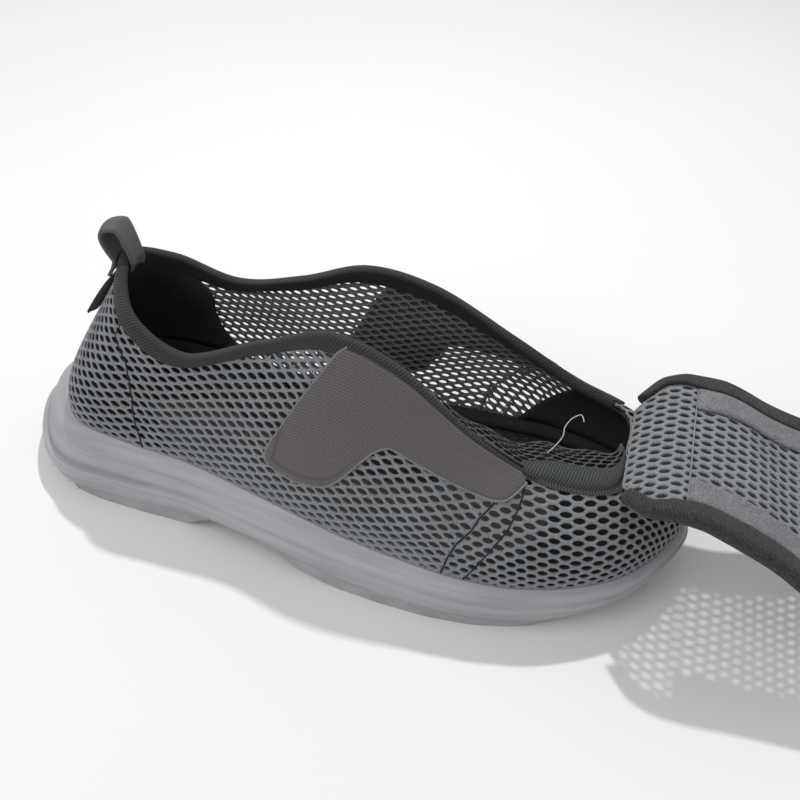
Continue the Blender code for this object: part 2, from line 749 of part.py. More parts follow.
def make_pull_loop(surface):
    """Model the webbing loop that straddles the binding at the heel."""
    rim = throat_ring(FINE_AROUND)
    pitch = np.linalg.norm(rim[1] - rim[0])
    across = np.round(np.linspace(-0.5, 0.5, 5) * LOOP_WIDTH / pitch).astype(int)
    height = np.linalg.norm(rim - feather_ring(FINE_AROUND), axis=1)
    outer_foot = 1.0 - LOOP_TUCK / height
    inner_foot = 1.0 - LOOP_INNER_TUCK / height
    outer_seat = -(BINDING_CLOTH + 3 * FIT_GAP)
    inner_seat = UPPER_WALL + BINDING_CLOTH + 3 * FIT_GAP
    turn = np.radians(np.linspace(0.0, 180.0, 11))[1:-1, None, None]

    def skin(thickness):
        outer = wall_grid(FINE_AROUND, 4, outer_seat - thickness, outer_foot)[:, across]
        inner = wall_grid(FINE_AROUND, 4, inner_seat + thickness, inner_foot)[:, across]
        middle = 0.5 * (outer[-1] + inner[-1])
        reach = 0.5 * (outer[-1] - inner[-1])
        rise = np.array([-np.sin(LOOP_LEAN), 0.0, np.cos(LOOP_LEAN)])
        arch = middle + reach * np.cos(turn) + rise * np.sin(turn) * (LOOP_HEIGHT + thickness)
        arch[:, :, 0] -= 2 * LOOP_BULGE * (np.maximum(np.cos(turn), 0.0) * np.sin(turn))[:, :, 0]
        return np.concatenate([outer, arch, inner[::-1]])

    return sheet_body("pull_loop", skin(LOOP_CLOTH), skin(0.0), surface)


def make_heel_tab(surface):
    """Model the small tab on the back seam, standing off at its lower end."""
    rows = 6
    back = wall_grid(AROUND, 60)[:, 0]
    fall = np.concatenate([[0.0], np.cumsum(np.linalg.norm(np.diff(back[::-1], axis=0), axis=1))])
    start = LOOP_TUCK + TAB_DROP
    place = np.linspace(start, start + TAB_LENGTH, rows)
    line = np.column_stack([np.interp(place, fall, back[::-1][:, i]) for i in range(3)])
    ahead = np.gradient(line, axis=0)
    normal = np.cross(np.array([0.0, 1.0, 0.0]), ahead)
    normal /= np.linalg.norm(normal, axis=1)[:, None]
    if normal[0, 0] > 0:
        normal = -normal
    share = np.linspace(0.0, 1.0, rows)
    stand = TAB_SEAT + TAB_STAND * np.sqrt(share)
    across = np.array([0.0, 1.0, 0.0])
    sections = []
    for point, face, off in zip(line, normal, stand):
        inner = point + face * off
        outer = inner + face * TAB_CLOTH
        half = across * TAB_WIDTH / 2
        sections.append([inner - half, outer - half, outer + half, inner + half])
    return section_body("heel_tab", sections, surface)


def clear_scene():
    """Remove what the opened file holds and add the part's collection."""
    for thing in list(bpy.data.objects):
        bpy.data.objects.remove(thing, do_unlink=True)
    for old in list(bpy.data.collections):
        bpy.data.collections.remove(old)
    made = bpy.data.collections.new(COLLECTION)
    bpy.context.scene.collection.children.link(made)


def main():
    """Build the shoe from the ground up."""
    clear_scene()
    foam = material("foam", (0.34, 0.33, 0.36), 0.6)
    rubber = material("outsole_rubber", (0.30, 0.29, 0.31), 0.7)
    footbed = material("footbed_foam", (0.02, 0.02, 0.02), 0.9)
    mesh = material("spacer_mesh", (0.17, 0.19, 0.21), 0.85)
    tape = material("binding_tape", (0.04, 0.04, 0.037), 0.8)
    loops = material("loop_patch", (0.11, 0.095, 0.10), 0.95)
    hooks = material("hook_tape", (0.16, 0.16, 0.20), 0.85)
    webbing = material("loop_webbing", (0.09, 0.09, 0.09), 0.8)
    tab = material("tab_cloth", (0.012, 0.010, 0.012), 0.8)
    make_midsole(foam)
    for name, start, end in TREADS:
        make_tread(name, start, end, rubber)
    make_insole(footbed)
    make_upper(mesh)
    make_binding(tape)
    make_patch("lateral_patch", -1, LATERAL_PATCH, loops)
    make_patch("medial_patch", 1, MEDIAL_PATCH, loops)
    make_flap(mesh)
    make_flap_tape(tape)
    make_hook_strip("lateral_hook_strip", -1, hooks)
    make_hook_strip("medial_hook_strip", 1, hooks)
    make_pull_loop(webbing)
    make_heel_tab(tab)


main()
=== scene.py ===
"""Looks of the open mesh post operative shoe for the right foot, in the CAD's own frame.

Metres, +X to the toe, +Y to the medial side, +Z up. A place on the upper's wall is given by its
round, 0 at the heel, 1 at the toe and 2 at the heel again by the medial side, and its rise, 0 at
the sole and 1 at the throat's edge.
"""

import json
import logging
from collections.abc import Callable
from dataclasses import dataclass, field, replace
from enum import Enum

import bmesh
import bpy
import numpy as np
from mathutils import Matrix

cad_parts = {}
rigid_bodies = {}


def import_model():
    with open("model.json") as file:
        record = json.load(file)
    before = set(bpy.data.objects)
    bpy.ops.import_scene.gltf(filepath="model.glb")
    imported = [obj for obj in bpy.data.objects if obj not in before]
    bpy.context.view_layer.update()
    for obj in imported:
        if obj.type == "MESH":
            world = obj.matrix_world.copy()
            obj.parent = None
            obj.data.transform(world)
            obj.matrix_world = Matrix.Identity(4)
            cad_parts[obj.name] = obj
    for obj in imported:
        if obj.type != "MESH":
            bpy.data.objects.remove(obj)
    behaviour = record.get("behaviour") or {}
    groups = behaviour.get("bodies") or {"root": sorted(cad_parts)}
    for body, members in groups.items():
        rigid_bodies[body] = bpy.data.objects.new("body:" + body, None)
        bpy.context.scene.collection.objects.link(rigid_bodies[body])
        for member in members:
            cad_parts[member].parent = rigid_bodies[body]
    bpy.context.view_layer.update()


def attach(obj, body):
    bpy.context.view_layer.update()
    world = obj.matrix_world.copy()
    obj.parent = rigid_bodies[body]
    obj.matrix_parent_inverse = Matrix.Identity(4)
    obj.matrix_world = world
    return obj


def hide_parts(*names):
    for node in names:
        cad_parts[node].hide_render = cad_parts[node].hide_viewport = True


Array = np.ndarray
Grid = Array | None
Socket = bpy.types.NodeSocket
Surface = Callable[[Array, Array, Array], Array]
LOG = logging.getLogger("shoe")

# driving sizes in metres, as in the part; LOOP_LEAN is in radians
LENGTH = 0.285
HEEL_SEAT = 0.055
HALF_BALL = 0.0545
HEEL_STACK = 0.0373
SOLE_FLARE = 0.014
HEEL_HEIGHT = 0.0975
INSTEP_HEIGHT = 0.1015
THROAT_LENGTH = 0.207
THROAT_START = 0.045
THROAT_HALF = 0.033
FIT_GAP = 0.0003
UPPER_WALL = 0.0022
LINING_CLOTH = 0.0006
LIP_CLOTH = 0.0009
SEAM_RADIUS = 0.00032
LIP_NET_THICKNESS = 0.0008
NET_THICKNESS = 0.0013
LEDGE = 0.0038
FOOTBED_DROP = 0.0035
INSOLE_THICKNESS = 0.004
SIDE_GROOVE = 0.0011
BINDING_HEIGHT = 0.0052
BINDING_CLOTH = 0.0009
PATCH_CLOTH = 0.0012
PATCH_HEM = 0.0036
PATCH_HEM_HALF = 0.0006
FLAP_LENGTH = 0.119
FLAP_HALF = 0.0435
FLAP_RISE = 0.0112
FLAP_CLOTH = 0.0026
FLAP_TAPE = 0.0062
FLAP_TAPE_CLOTH = 0.0013
HOOK_WIDTH = 0.0115
HOOK_CLOTH = 0.0013
LOOP_WIDTH = 0.0135
LOOP_HEIGHT = 0.0135
LOOP_TUCK = 0.0095
LOOP_INNER_TUCK = 0.0035
LOOP_CLOTH = 0.0015
LOOP_LEAN = 0.22
LOOP_BULGE = 0.0040
TAB_WIDTH = 0.011
TAB_LENGTH = 0.021
TAB_CLOTH = 0.0012
TAB_SEAT = 0.0009
TAB_FOOT = 0.0002
TAB_STAND = 0.0018
TAB_DROP = 0.004

# steps in each span of a spline, stations around the last, and how many of them a slope is taken over
SPAN_STEPS = 24
AROUND = 3360
SMOOTHING = 20

# metres of wall in one unit of a round, and map units (centimetres) in a metre
ROUND_RUN = 0.33
PER_METRE = 100.0

# metres within which points are one, and at which an edge has no length
SAME_PLACE = 2e-7
NO_LENGTH = 1e-8

UP = np.array([0.0, 0.0, 1.0])
IN_PLAN = np.array([1.0, 1.0, 0.0])

# along is a share of LENGTH, the sides are shares of HALF_BALL
OUTLINE = (
    # along, lateral, medial
    (0.00, 0.000, 0.000),
    (0.04, -0.540, 0.485),
    (0.10, -0.800, 0.660),
    (0.20, -0.840, 0.730),
    (0.30, -0.845, 0.715),
    (0.40, -0.925, 0.685),
    (0.50, -1.020, 0.725),
    (0.60, -1.070, 0.835),
    (0.70, -1.080, 0.915),
    (0.78, -1.020, 0.950),
    (0.86, -0.860, 0.870),
    (0.93, -0.600, 0.680),
    (0.98, -0.210, 0.390),
    (1.00, 0.110, 0.160),
)

# heights are shares of HEEL_STACK
SOLE_HEIGHTS = (
    # along, ground, base, belt, feather
    (0.000, 0.090, 0.180, 0.310, 1.000),
    (0.050, 0.018, 0.155, 0.318, 0.975),
    (0.090, 0.000, 0.150, 0.322, 0.955),
    (0.200, 0.000, 0.170, 0.335, 0.905),
    (0.290, 0.000, 0.210, 0.340, 0.855),
    (0.335, 0.190, 0.245, 0.345, 0.825),
    (0.420, 0.215, 0.260, 0.350, 0.775),
    (0.465, 0.130, 0.240, 0.350, 0.755),
    (0.500, 0.060, 0.220, 0.345, 0.735),
    (0.540, 0.010, 0.170, 0.340, 0.705),
    (0.580, 0.000, 0.145, 0.330, 0.675),
    (0.800, 0.000, 0.135, 0.330, 0.560),
    (0.880, 0.045, 0.170, 0.350, 0.548),
    (0.940, 0.130, 0.240, 0.400, 0.545),
    (1.000, 0.240, 0.330, 0.450, 0.550),
)

# insets from the outline are shares of SOLE_FLARE, groove is a share of SIDE_GROOVE
SOLE_INSETS = (
    # along, ground, base, feather, groove
    (0.00, 0.80, 0.45, 1.38, 1.00),
    (0.05, 0.48, 0.28, 1.00, 1.00),
    (0.10, 0.32, 0.18, 0.76, 1.00),
    (0.20, 0.17, 0.10, 0.50, 1.00),
    (0.30, 0.15, 0.09, 0.46, 0.70),
    (0.40, 0.12, 0.07, 0.43, 0.25),
    (0.60, 0.09, 0.06, 0.36, 0.20),
    (0.80, 0.26, 0.14, 0.35, 0.20),
    (0.93, 0.70, 0.34, 0.29, 0.20),
    (1.00, 1.05, 0.52, 0.23, 0.20),
)

# side of the sole from the belt to the feather line, as shares of what lies between
SIDE_STEPS = (
    # rise, inset, groove
    (0.000, 0.000, 0.00),
    (0.080, 0.004, 0.00),
    (0.150, 0.048, 0.00),
    (0.168, 0.058, -0.12),
    (0.182, 0.066, -0.42),
    (0.194, 0.074, -0.46),
    (0.204, 0.081, -0.20),
    (0.214, 0.092, 0.55),
    (0.228, 0.106, 1.15),
    (0.250, 0.122, 1.22),
    (0.285, 0.145, 1.08),
    (0.350, 0.185, 0.98),
    (0.450, 0.285, 0.95),
    (0.540, 0.368, 0.92),
    (0.590, 0.400, 0.80),
    (0.615, 0.410, 0.45),
    (0.635, 0.414, 0.10),
    (0.660, 0.420, 0.00),
    (0.720, 0.470, 0.00),
    (0.800, 0.610, 0.00),
    (0.880, 0.765, 0.00),
    (0.950, 0.900, 0.00),
    (0.985, 0.965, 0.00),
    (1.000, 1.000, 0.00),
)

# side of the sole from its base to the belt, the inset as a share and a fine line cut in metres
UNDER_STEPS = (
    # rise, inset, cut
    (0.00, 1.000, 0.0),
    (0.04, 0.860, 0.0),
    (0.13, 0.650, 0.0),
    (0.15, 0.620, 0.00035),
    (0.18, 0.580, 0.00035),
    (0.20, 0.555, 0.0),
    (0.30, 0.430, 0.0),
    (0.45, 0.300, 0.0),
    (0.62, 0.160, 0.0),
    (0.80, 0.060, 0.0),
    (0.92, 0.015, 0.0),
)

# along is a share of THROAT_LENGTH, the height is by_heel of HEEL_HEIGHT plus by_instep of
# INSTEP_HEIGHT, centre and sides are shares of THROAT_HALF
THROAT = (
    # along, by_heel, by_instep, centre, lateral, medial
    (0.000, 1.00, 0.000, 0.050, 0.000, 0.000),
    (0.058, 0.85, 0.057, -0.080, 0.660, 0.660),
    (0.176, 0.35, 0.440, -0.110, 0.820, 0.880),
    (0.325, 0.10, 0.788, -0.135, 0.650, 0.770),
    (0.458, 0.00, 1.000, -0.150, 0.675, 0.760),
    (0.585, 0.00, 0.944, -0.120, 0.785, 0.870),
    (0.750, 0.00, 0.735, -0.030, 0.990, 0.990),
    (0.880, 0.00, 0.596, 0.030, 0.965, 0.940),
    (0.990, 0.00, 0.557, 0.030, 0.680, 0.700),
    (1.000, 0.00, 0.557, 0.030, 0.000, 0.000),
)

# how the wall leaves the sole and reaches the throat
WALL_BEND = (
    # round, foot_out, foot_rise, rim_out, rim_drop
    (0.00, -0.02, 0.26, 0.05, 0.30),
    (0.15, 0.04, 0.36, 0.34, 0.34),
    (0.35, 0.05, 0.36, 0.38, 0.36),
    (0.55, 0.05, 0.36, 0.40, 0.36),
    (0.75, 0.10, 0.42, 0.48, 0.22),
    (0.90, 0.12, 0.50, 0.52, 0.08),
    (1.00, 0.10, 0.55, 0.55, 0.04),
)

# the foot bed's edge and the rand's closed section, in metres in from the feather line and up
BED_EDGE = ((0.0006, 0.0003), (0.0, 0.0014), (0.0001, 0.0030), (0.0005, 0.0039), (0.0012, 0.0044))
RAND = ((0.0026, 0.0022), (0.0030, 0.0012), (0.0045, 0.0008), (0.0056, 0.0004), (0.0066, -0.0036),
        (0.0058, -0.0036), (0.0044, 0.0001), (0.0040, 0.0003), (0.0027, 0.0004), (0.0024, 0.0010))

# edges of the loop patches, as shares of the wall's rise
LATERAL_PATCH = (
    # round, lower, upper
    (0.420, 0.310, 0.350),
    (0.423, 0.285, 0.410),
    (0.428, 0.268, 0.480),
    (0.440, 0.245, 0.640),
    (0.457, 0.235, 0.810),
    (0.474, 0.245, 0.950),
    (0.493, 0.267, 1.000),
    (0.507, 0.310, 1.000),
    (0.536, 0.500, 1.000),
    (0.551, 0.590, 1.000),
    (0.570, 0.640, 1.000),
    (0.600, 0.636, 1.000),
    (0.700, 0.636, 1.000),
    (0.722, 0.660, 1.000),
    (0.745, 0.750, 1.000),
    (0.770, 0.880, 1.000),
)
MEDIAL_PATCH = (
    # round, lower, upper
    (0.455, 0.300, 0.350),
    (0.460, 0.240, 0.580),
    (0.470, 0.210, 0.800),
    (0.482, 0.200, 0.950),
    (0.495, 0.200, 1.000),
    (0.545, 0.210, 1.000),
    (0.562, 0.270, 1.000),
    (0.576, 0.420, 1.000),
    (0.590, 0.560, 1.000),
    (0.612, 0.600, 1.000),
    (0.700, 0.620, 1.000),
    (0.745, 0.720, 1.000),
    (0.775, 0.870, 1.000),
)

# the flap's middle line above the throat's front edge, and its half width
FLAP = (
    # forward, height, half
    (0.000, 0.115, 0.540),
    (0.045, 0.500, 0.700),
    (0.096, 0.785, 0.850),
    (0.162, 0.990, 0.885),
    (0.247, 0.955, 0.890),
    (0.331, 0.740, 0.900),
    (0.415, 0.390, 0.920),
    (0.500, 0.000, 0.950),
    (0.583, -0.380, 0.990),
    (0.710, -0.940, 1.000),
    (0.826, -1.450, 0.960),
    (0.922, -1.880, 0.820),
    (0.981, -2.130, 0.560),
    (1.000, -2.210, 0.300),
)

# the seams on the wall, by round and rise
HEEL_SEAM = ((0.118, 0.90), (0.124, 0.817), (0.143, 0.783), (0.171, 0.733), (0.198, 0.617), (0.224, 0.467),
             (0.245, 0.283), (0.262, 0.10), (0.268, 0.0))
TOE_SEAM = ((0.730, 0.86), (0.722, 0.74), (0.710, 0.617), (0.690, 0.50), (0.679, 0.40), (0.662, 0.283),
            (0.652, 0.15), (0.646, 0.0))
TOE_SEAM_AHEAD = ((0.765, 0.84), (0.752, 0.72), (0.738, 0.60), (0.722, 0.46), (0.707, 0.35), (0.690, 0.20),
                  (0.676, 0.05), (0.672, 0.0))

# the loose end of thread at the fold, point by point in metres
THREAD_ROUND = 0.0004
THREAD = (
    (0.1668, -0.0174, 0.0600),
    (0.1702, -0.0117, 0.0612),
    (0.1725, -0.0057, 0.0624),
    (0.1725, -0.0017, 0.0636),
    (0.1746, 0.0032, 0.0648),
    (0.1773, 0.0046, 0.0660),
    (0.1789, -0.0005, 0.0672),
)

# soft troughs (height below 0) and ridges of the upper, in metres; CREASE_BACK is how far they reach through
CREASE_BACK = 0.030
CREASES = (
    # round, rise, reach around, reach up, turn in degrees, height
    (0.000, 0.600, 0.0220, 0.0160, 0.0, 0.0018),
    (0.205, 0.560, 0.0050, 0.0300, 14.0, -0.0009),
    (0.245, 0.330, 0.0045, 0.0200, 10.0, -0.0008),
    (0.300, 0.700, 0.0240, 0.0100, -12.0, 0.0009),
    (0.360, 0.450, 0.0300, 0.0120, -20.0, -0.0010),
    (0.425, 0.560, 0.0050, 0.0240, 8.0, -0.0007),
    (0.560, 0.420, 0.0220, 0.0080, 24.0, -0.0012),
    (0.610, 0.300, 0.0260, 0.0070, 10.0, 0.0009),
    (0.655, 0.420, 0.0060, 0.0200, -34.0, -0.0012),
    (0.700, 0.350, 0.0050, 0.0180, -34.0, -0.0009),
    (0.800, 0.520, 0.0200, 0.0100, 8.0, 0.0010),
    (0.930, 0.450, 0.0180, 0.0090, -6.0, -0.0008),
    (1.100, 0.520, 0.0200, 0.0090, 12.0, 0.0008),
    (1.320, 0.400, 0.0060, 0.0180, 30.0, -0.0010),
    (1.450, 0.520, 0.0240, 0.0100, -16.0, -0.0011),
    (1.620, 0.600, 0.0280, 0.0120, 14.0, -0.0010),
    (1.780, 0.520, 0.0050, 0.0280, -12.0, -0.0008),
    (1.930, 0.620, 0.0160, 0.0100, 0.0, 0.0006),
    (0.060, 0.550, 0.0140, 0.0100, 0.0, -0.0006),
)

# the net's fold at the near front of the throat: its rounds, where the binding ends, the share at its crest,
# the step that its slopes are taken over, and its section
FOLD_START = 0.60
FOLD_END = 0.965
FOLD_BARE = 0.83
FOLD_CREST = 0.42
FOLD_STEP = 2e-3
FOLD = (
    # share, metres inward, metres up from the rim's outer edge
    (0.00, 0.0000, 0.0000),
    (0.20, 0.0000, 0.0000),
    (0.30, 0.0012, 0.0019),
    (0.42, 0.0048, 0.0027),
    (0.56, 0.0098, 0.0019),
    (0.78, 0.0185, -0.0008),
    (1.00, 0.0285, -0.0055),
)


def column(table: tuple, index: int) -> Array:
    """Return one column of a table as an array."""
    return np.array([row[index] for row in table], dtype=float)


def between(table: tuple, index: int, at: Array) -> Array:
    """Read a column with a monotone cubic, on which a flat stays flat.

    Args:
        table: Rows whose first value rises.
        index: The column that is read.
        at: The places, in the first column's values.

    Returns:
        The values there.
    """
    knots, values = column(table, 0), column(table, index)
    step = np.diff(knots)
    slope = np.diff(values) / step
    tangent = np.concatenate([slope[:1], np.zeros(len(knots) - 2), slope[-1:]])
    same = slope[:-1] * slope[1:] > 0
    mean = 2.0 * slope[:-1] * slope[1:] / np.where(same, slope[:-1] + slope[1:], 1.0)
    tangent[1:-1] = np.where(same, mean, 0.0)
    at = np.clip(np.asarray(at, dtype=float), knots[0], knots[-1])
    cell = np.clip(np.searchsorted(knots, at, side="right") - 1, 0, len(knots) - 2)
    u = (at - knots[cell]) / step[cell]
    blend = values[cell] + (values[cell + 1] - values[cell]) * (3.0 - 2.0 * u) * u * u
    lead, tail = u * (1.0 - u) ** 2 * step[cell], u * u * (u - 1.0) * step[cell]
    return blend + lead * tangent[cell] + tail * tangent[cell + 1]


def closed_spline(points: Array) -> Array:
    """Run a smooth closed curve through the points, with slopes by the roots of the chords."""
    before, after, beyond = (np.roll(points, turn, axis=0) for turn in (1, -1, -2))
    span = np.linalg.norm(after - points, axis=1) ** 0.5
    span_before, span_after = np.roll(span, 1), np.roll(span, -1)
    start = (points - before) / span_before[:, None] - (after - before) / (span_before + span)[:, None]
    start = (start + (after - points) / span[:, None]) * span[:, None]
    end = (after - points) / span[:, None] - (beyond - points) / (span + span_after)[:, None]
    end = (end + (beyond - after) / span_after[:, None]) * span[:, None]
    u = np.linspace(0.0, 1.0, SPAN_STEPS, endpoint=False)[None, :, None]
    p0, p1, d0, d1 = points[:, None, :], after[:, None, :], start[:, None, :], end[:, None, :]
    curve = p0 + d0 * u + (3 * (p1 - p0) - 2 * d0 - d1) * u ** 2 + (2 * (p0 - p1) + d0 + d1) * u ** 3
    return curve.reshape(-1, points.shape[1])


def even_halves(curve: Array, turn: int, count: int) -> Array:
    """Divide a closed curve evenly from its start to the point numbered turn, and evenly back."""
    loop = np.vstack([curve, curve[:1]])
    run, half = travel(loop), count // 2
    out = np.linspace(0.0, run[turn], half, endpoint=False)
    back = np.linspace(run[turn], run[-1], count - half, endpoint=False)
    at = np.concatenate([out, back])
    return np.column_stack([np.interp(at, run, values) for values in loop.T])


def unit(vectors: Array) -> Array:
    """Return the vectors at length one."""
    return vectors / np.maximum(np.linalg.norm(vectors, axis=-1, keepdims=True), 1e-12)


def smooth_step(low: float, high: float, at: Array) -> Array:
    """Rise from 0 at low to 1 at high with level ends."""
    u = np.clip((np.asarray(at, dtype=float) - low) / (high - low), 0.0, 1.0)
    return u * u * (3.0 - 2.0 * u)


def travel(points: Array) -> Array:
    """Return the length walked along rows of points, down the first axis."""
    return np.linalg.norm(np.diff(points, axis=0, prepend=points[:1]), axis=-1).cumsum(axis=0)


def woven(run: Array, girth: Array) -> Array:
    """Return a piece's own map in centimetres, from metres along it and across it."""
    return np.stack(np.broadcast_arrays(run[:, None], girth), axis=-1) * PER_METRE


def cubic(ends: Array, v: Array) -> Array:
    """Return a cubic's points from its four corners on the last axis but one."""
    weights = ((1 - v) ** 3, 3 * v * (1 - v) ** 2, 3 * v * v * (1 - v), v ** 3)
    return sum(w * ends[..., k, :] for k, w in enumerate(weights))


def linked(name: str, data: bpy.types.ID) -> bpy.types.Object:
    """Make an object of the data and put it in the scene."""
    made = bpy.data.objects.new(name, data)
    bpy.context.scene.collection.objects.link(made)
    return made


class Last:
    """The shared shape of the shoe: sole outline, feather line, throat edge and the wall between them."""

    def __init__(self) -> None:
        """Work out the outline and the four lines that carry the wall's cubic."""
        along = column(OUTLINE, 0) * LENGTH - HEEL_SEAT
        lateral, medial = column(OUTLINE, 1) * HALF_BALL, column(OUTLINE, 2) * HALF_BALL
        out = np.column_stack([along[:-1], lateral[:-1]])
        toe = np.array([[along[-1], 0.5 * (lateral[-1] + medial[-1])]])
        back = np.column_stack([along[1:-1], medial[1:-1]])[::-1]
        self.ring = even_halves(closed_spline(np.vstack([out, toe, back])), len(out) * SPAN_STEPS, AROUND)
        ahead = np.roll(self.ring, -SMOOTHING, axis=0) - np.roll(self.ring, SMOOTHING, axis=0)
        self.normal = unit(np.column_stack([ahead[:, 1], -ahead[:, 0]]))
        self.share = (self.ring[:, 0] + HEEL_SEAT) / LENGTH
        self.rounds = 2.0 * np.arange(AROUND) / AROUND
        half = np.where(self.rounds <= 1.0, self.rounds, 2.0 - self.rounds)
        foot = self.sole_ring(self.inset("feather"), self.height("feather") + FIT_GAP)
        rim = self.throat_ring()
        out_way = np.column_stack([self.normal, np.zeros(AROUND)])
        rise = (rim[:, 2] - foot[:, 2])[:, None]
        foot_out, foot_rise, rim_out, rim_drop = (between(WALL_BEND, k, half)[:, None] for k in (1, 2, 3, 4))
        low = foot + out_way * rise * foot_out + UP * rise * foot_rise
        high = rim + (foot - rim) * IN_PLAN * rim_out - UP * rise * rim_drop
        self.lines = np.stack([foot, low, high, rim], axis=1)
        spread = np.roll(self.lines, -SMOOTHING, axis=0) - np.roll(self.lines, SMOOTHING, axis=0)
        self.leans = spread * AROUND / (4.0 * SMOOTHING)
        self.tall = np.linalg.norm(rim - foot, axis=1)
        creased = column(CREASES, 0), column(CREASES, 1)
        self.crease_places = self.bare(*creased)
        self.crease_outward = unit(self.facing(*creased) * IN_PLAN)

    def height(self, name: str) -> Array:
        """Return one of the sole's heights at every station."""
        index = {"base": 2, "belt": 3, "feather": 4}[name]
        return between(SOLE_HEIGHTS, index, self.share) * HEEL_STACK

    def inset(self, name: str) -> Array:
        """Return one of the sole's insets from the outline at every station."""
        return between(SOLE_INSETS, {"base": 2, "feather": 3}[name], self.share) * SOLE_FLARE

    def sole_ring(self, inset: Array, height: Array) -> Array:
        """Return the outline drawn in by inset along its normal and lifted to height."""
        return np.column_stack([self.ring - self.normal * np.asarray(inset)[:, None], height])

    def throat_ring(self) -> Array:
        """Return the throat's edge, from the heel by the lateral side to the front and back."""
        along = column(THROAT, 0) * THROAT_LENGTH + THROAT_START - HEEL_SEAT
        height = column(THROAT, 1) * HEEL_HEIGHT + column(THROAT, 2) * INSTEP_HEIGHT
        middle = column(THROAT, 3) * THROAT_HALF
        out = np.column_stack([along, middle - column(THROAT, 4) * THROAT_HALF, height])
        back = np.column_stack([along, middle + column(THROAT, 5) * THROAT_HALF, height])[1:-1][::-1]
        return even_halves(closed_spline(np.vstack([out, back])), (len(out) - 1) * SPAN_STEPS, AROUND)

    def _read(self, rows: Array, rounds: Array) -> Array:
        """Read rows kept for each station at any round, straight between neighbours."""
        at = np.mod(rounds, 2.0) * AROUND / 2.0
        cell = np.floor(at).astype(int)
        part = (at - cell).reshape(at.shape + (1,) * (rows.ndim - 1))
        return rows[cell % AROUND] * (1.0 - part) + rows[(cell + 1) % AROUND] * part

    def bare(self, rounds: Array, rise: Array) -> Array:
        """Return points of the wall's outside without its creases: a cubic of the four lines."""
        return cubic(self._read(self.lines, rounds), np.asarray(rise, dtype=float)[..., None])

    def facing(self, rounds: Array, rise: Array) -> Array:
        """Return the wall's outward normals: the way around crossed with the way up."""
        lines, leans = self._read(self.lines, rounds), self._read(self.leans, rounds)
        v = np.asarray(rise, dtype=float)[..., None]
        steps = lines[..., 1:, :] - lines[..., :-1, :]
        up = (1 - v) ** 2 * steps[..., 0, :] + 2 * v * (1 - v) * steps[..., 1, :] + v * v * steps[..., 2, :]
        return unit(np.cross(cubic(leans, v), up))

    def relief(self, rise: Array, points: Array) -> Array:
        """Return how far the creases lift the wall: a sum of turned bell shapes, level at both edges."""
        total = np.zeros(points.shape[:-1])
        for place, out, crease in zip(self.crease_places, self.crease_outward, CREASES):
            wide, tall, turn, height = crease[2:]
            apart = points - place
            across = apart[..., 1] * out[0] - apart[..., 0] * out[1]
            behind = (apart[..., 0] * out[0] + apart[..., 1] * out[1]) / CREASE_BACK
            angle = np.radians(turn)
            along = across * np.cos(angle) + apart[..., 2] * np.sin(angle)
            upward = -across * np.sin(angle) + apart[..., 2] * np.cos(angle)
            total += height * np.exp(-0.5 * ((along / wide) ** 2 + (upward / tall) ** 2 + behind ** 2))
        return total * (smooth_step(0.0, 0.15, rise) * smooth_step(1.0, 0.82, rise))

    def wall(self, rounds: Array, rise: Array, depth: Array | float = 0.0) -> Array:
        """Return points of the creased wall, moved inward by depth.

        Args:
            rounds: Places around, 0 to 2.
            rise: Shares of the wall's height.
            depth: How far inward along the normal, in metres.

        Returns:
            The points.
        """
        rounds, rise = np.broadcast_arrays(np.asarray(rounds, dtype=float), np.asarray(rise, dtype=float))
        points = self.bare(rounds, rise)
        lift = self.relief(rise, points) - np.asarray(depth)
        return points + self.facing(rounds, rise) * lift[..., None]

    def height_at(self, rounds: Array) -> Array:
        """Return the wall's straight height at the rounds."""
        return self._read(self.tall, np.asarray(rounds, dtype=float))


def flap_point(forward: Array, across: Array, lift: Array | float = 0.0) -> Array:
    """Return points of the flap's middle sheet, lifted along its normal.

    Args:
        forward: Shares of the flap's length from its root.
        across: Metres to the medial side.
        lift: Metres along the sheet's upturned normal.

    Returns:
        The points.
    """
    forward, across = np.broadcast_arrays(np.asarray(forward, dtype=float), np.asarray(across, dtype=float))
    edge = THROAT[-1][2] * INSTEP_HEIGHT
    root, step = THROAT_START + THROAT_LENGTH - HEEL_SEAT, 1e-3
    near, far = np.maximum(forward - step, 0.0), np.minimum(forward + step, 1.0)
    fall = (between(FLAP, 1, far) - between(FLAP, 1, near)) * FLAP_RISE
    run = (far - near) * FLAP_LENGTH
    length = np.hypot(run, fall)
    beyond = np.maximum(forward - 1.0, 0.0) * FLAP_LENGTH
    ripple = 0.0005 * np.sin(forward * 21.0 + across * 55.0) * smooth_step(0.0, 0.3, forward)
    lift = np.asarray(lift) + ripple
    return np.stack([
        root + np.minimum(forward, 1.0) * FLAP_LENGTH + beyond - fall / length * lift,
        across,
        edge + between(FLAP, 1, forward) * FLAP_RISE + run / length * lift,
    ], axis=-1)


def flap_half(forward: Array) -> Array:
    """Return the flap's half width in metres."""
    return between(FLAP, 2, forward) * FLAP_HALF


class Pattern(Enum):
    """What a finish is made of."""

    NET = "net"
    FOAM = "foam"
    RUBBER = "rubber"
    TWILL = "twill"
    FIBRE = "fibre"
    WEAVE = "weave"
    FUZZ = "fuzz"
    CLOTH = "cloth"
    FLOOR = "floor"


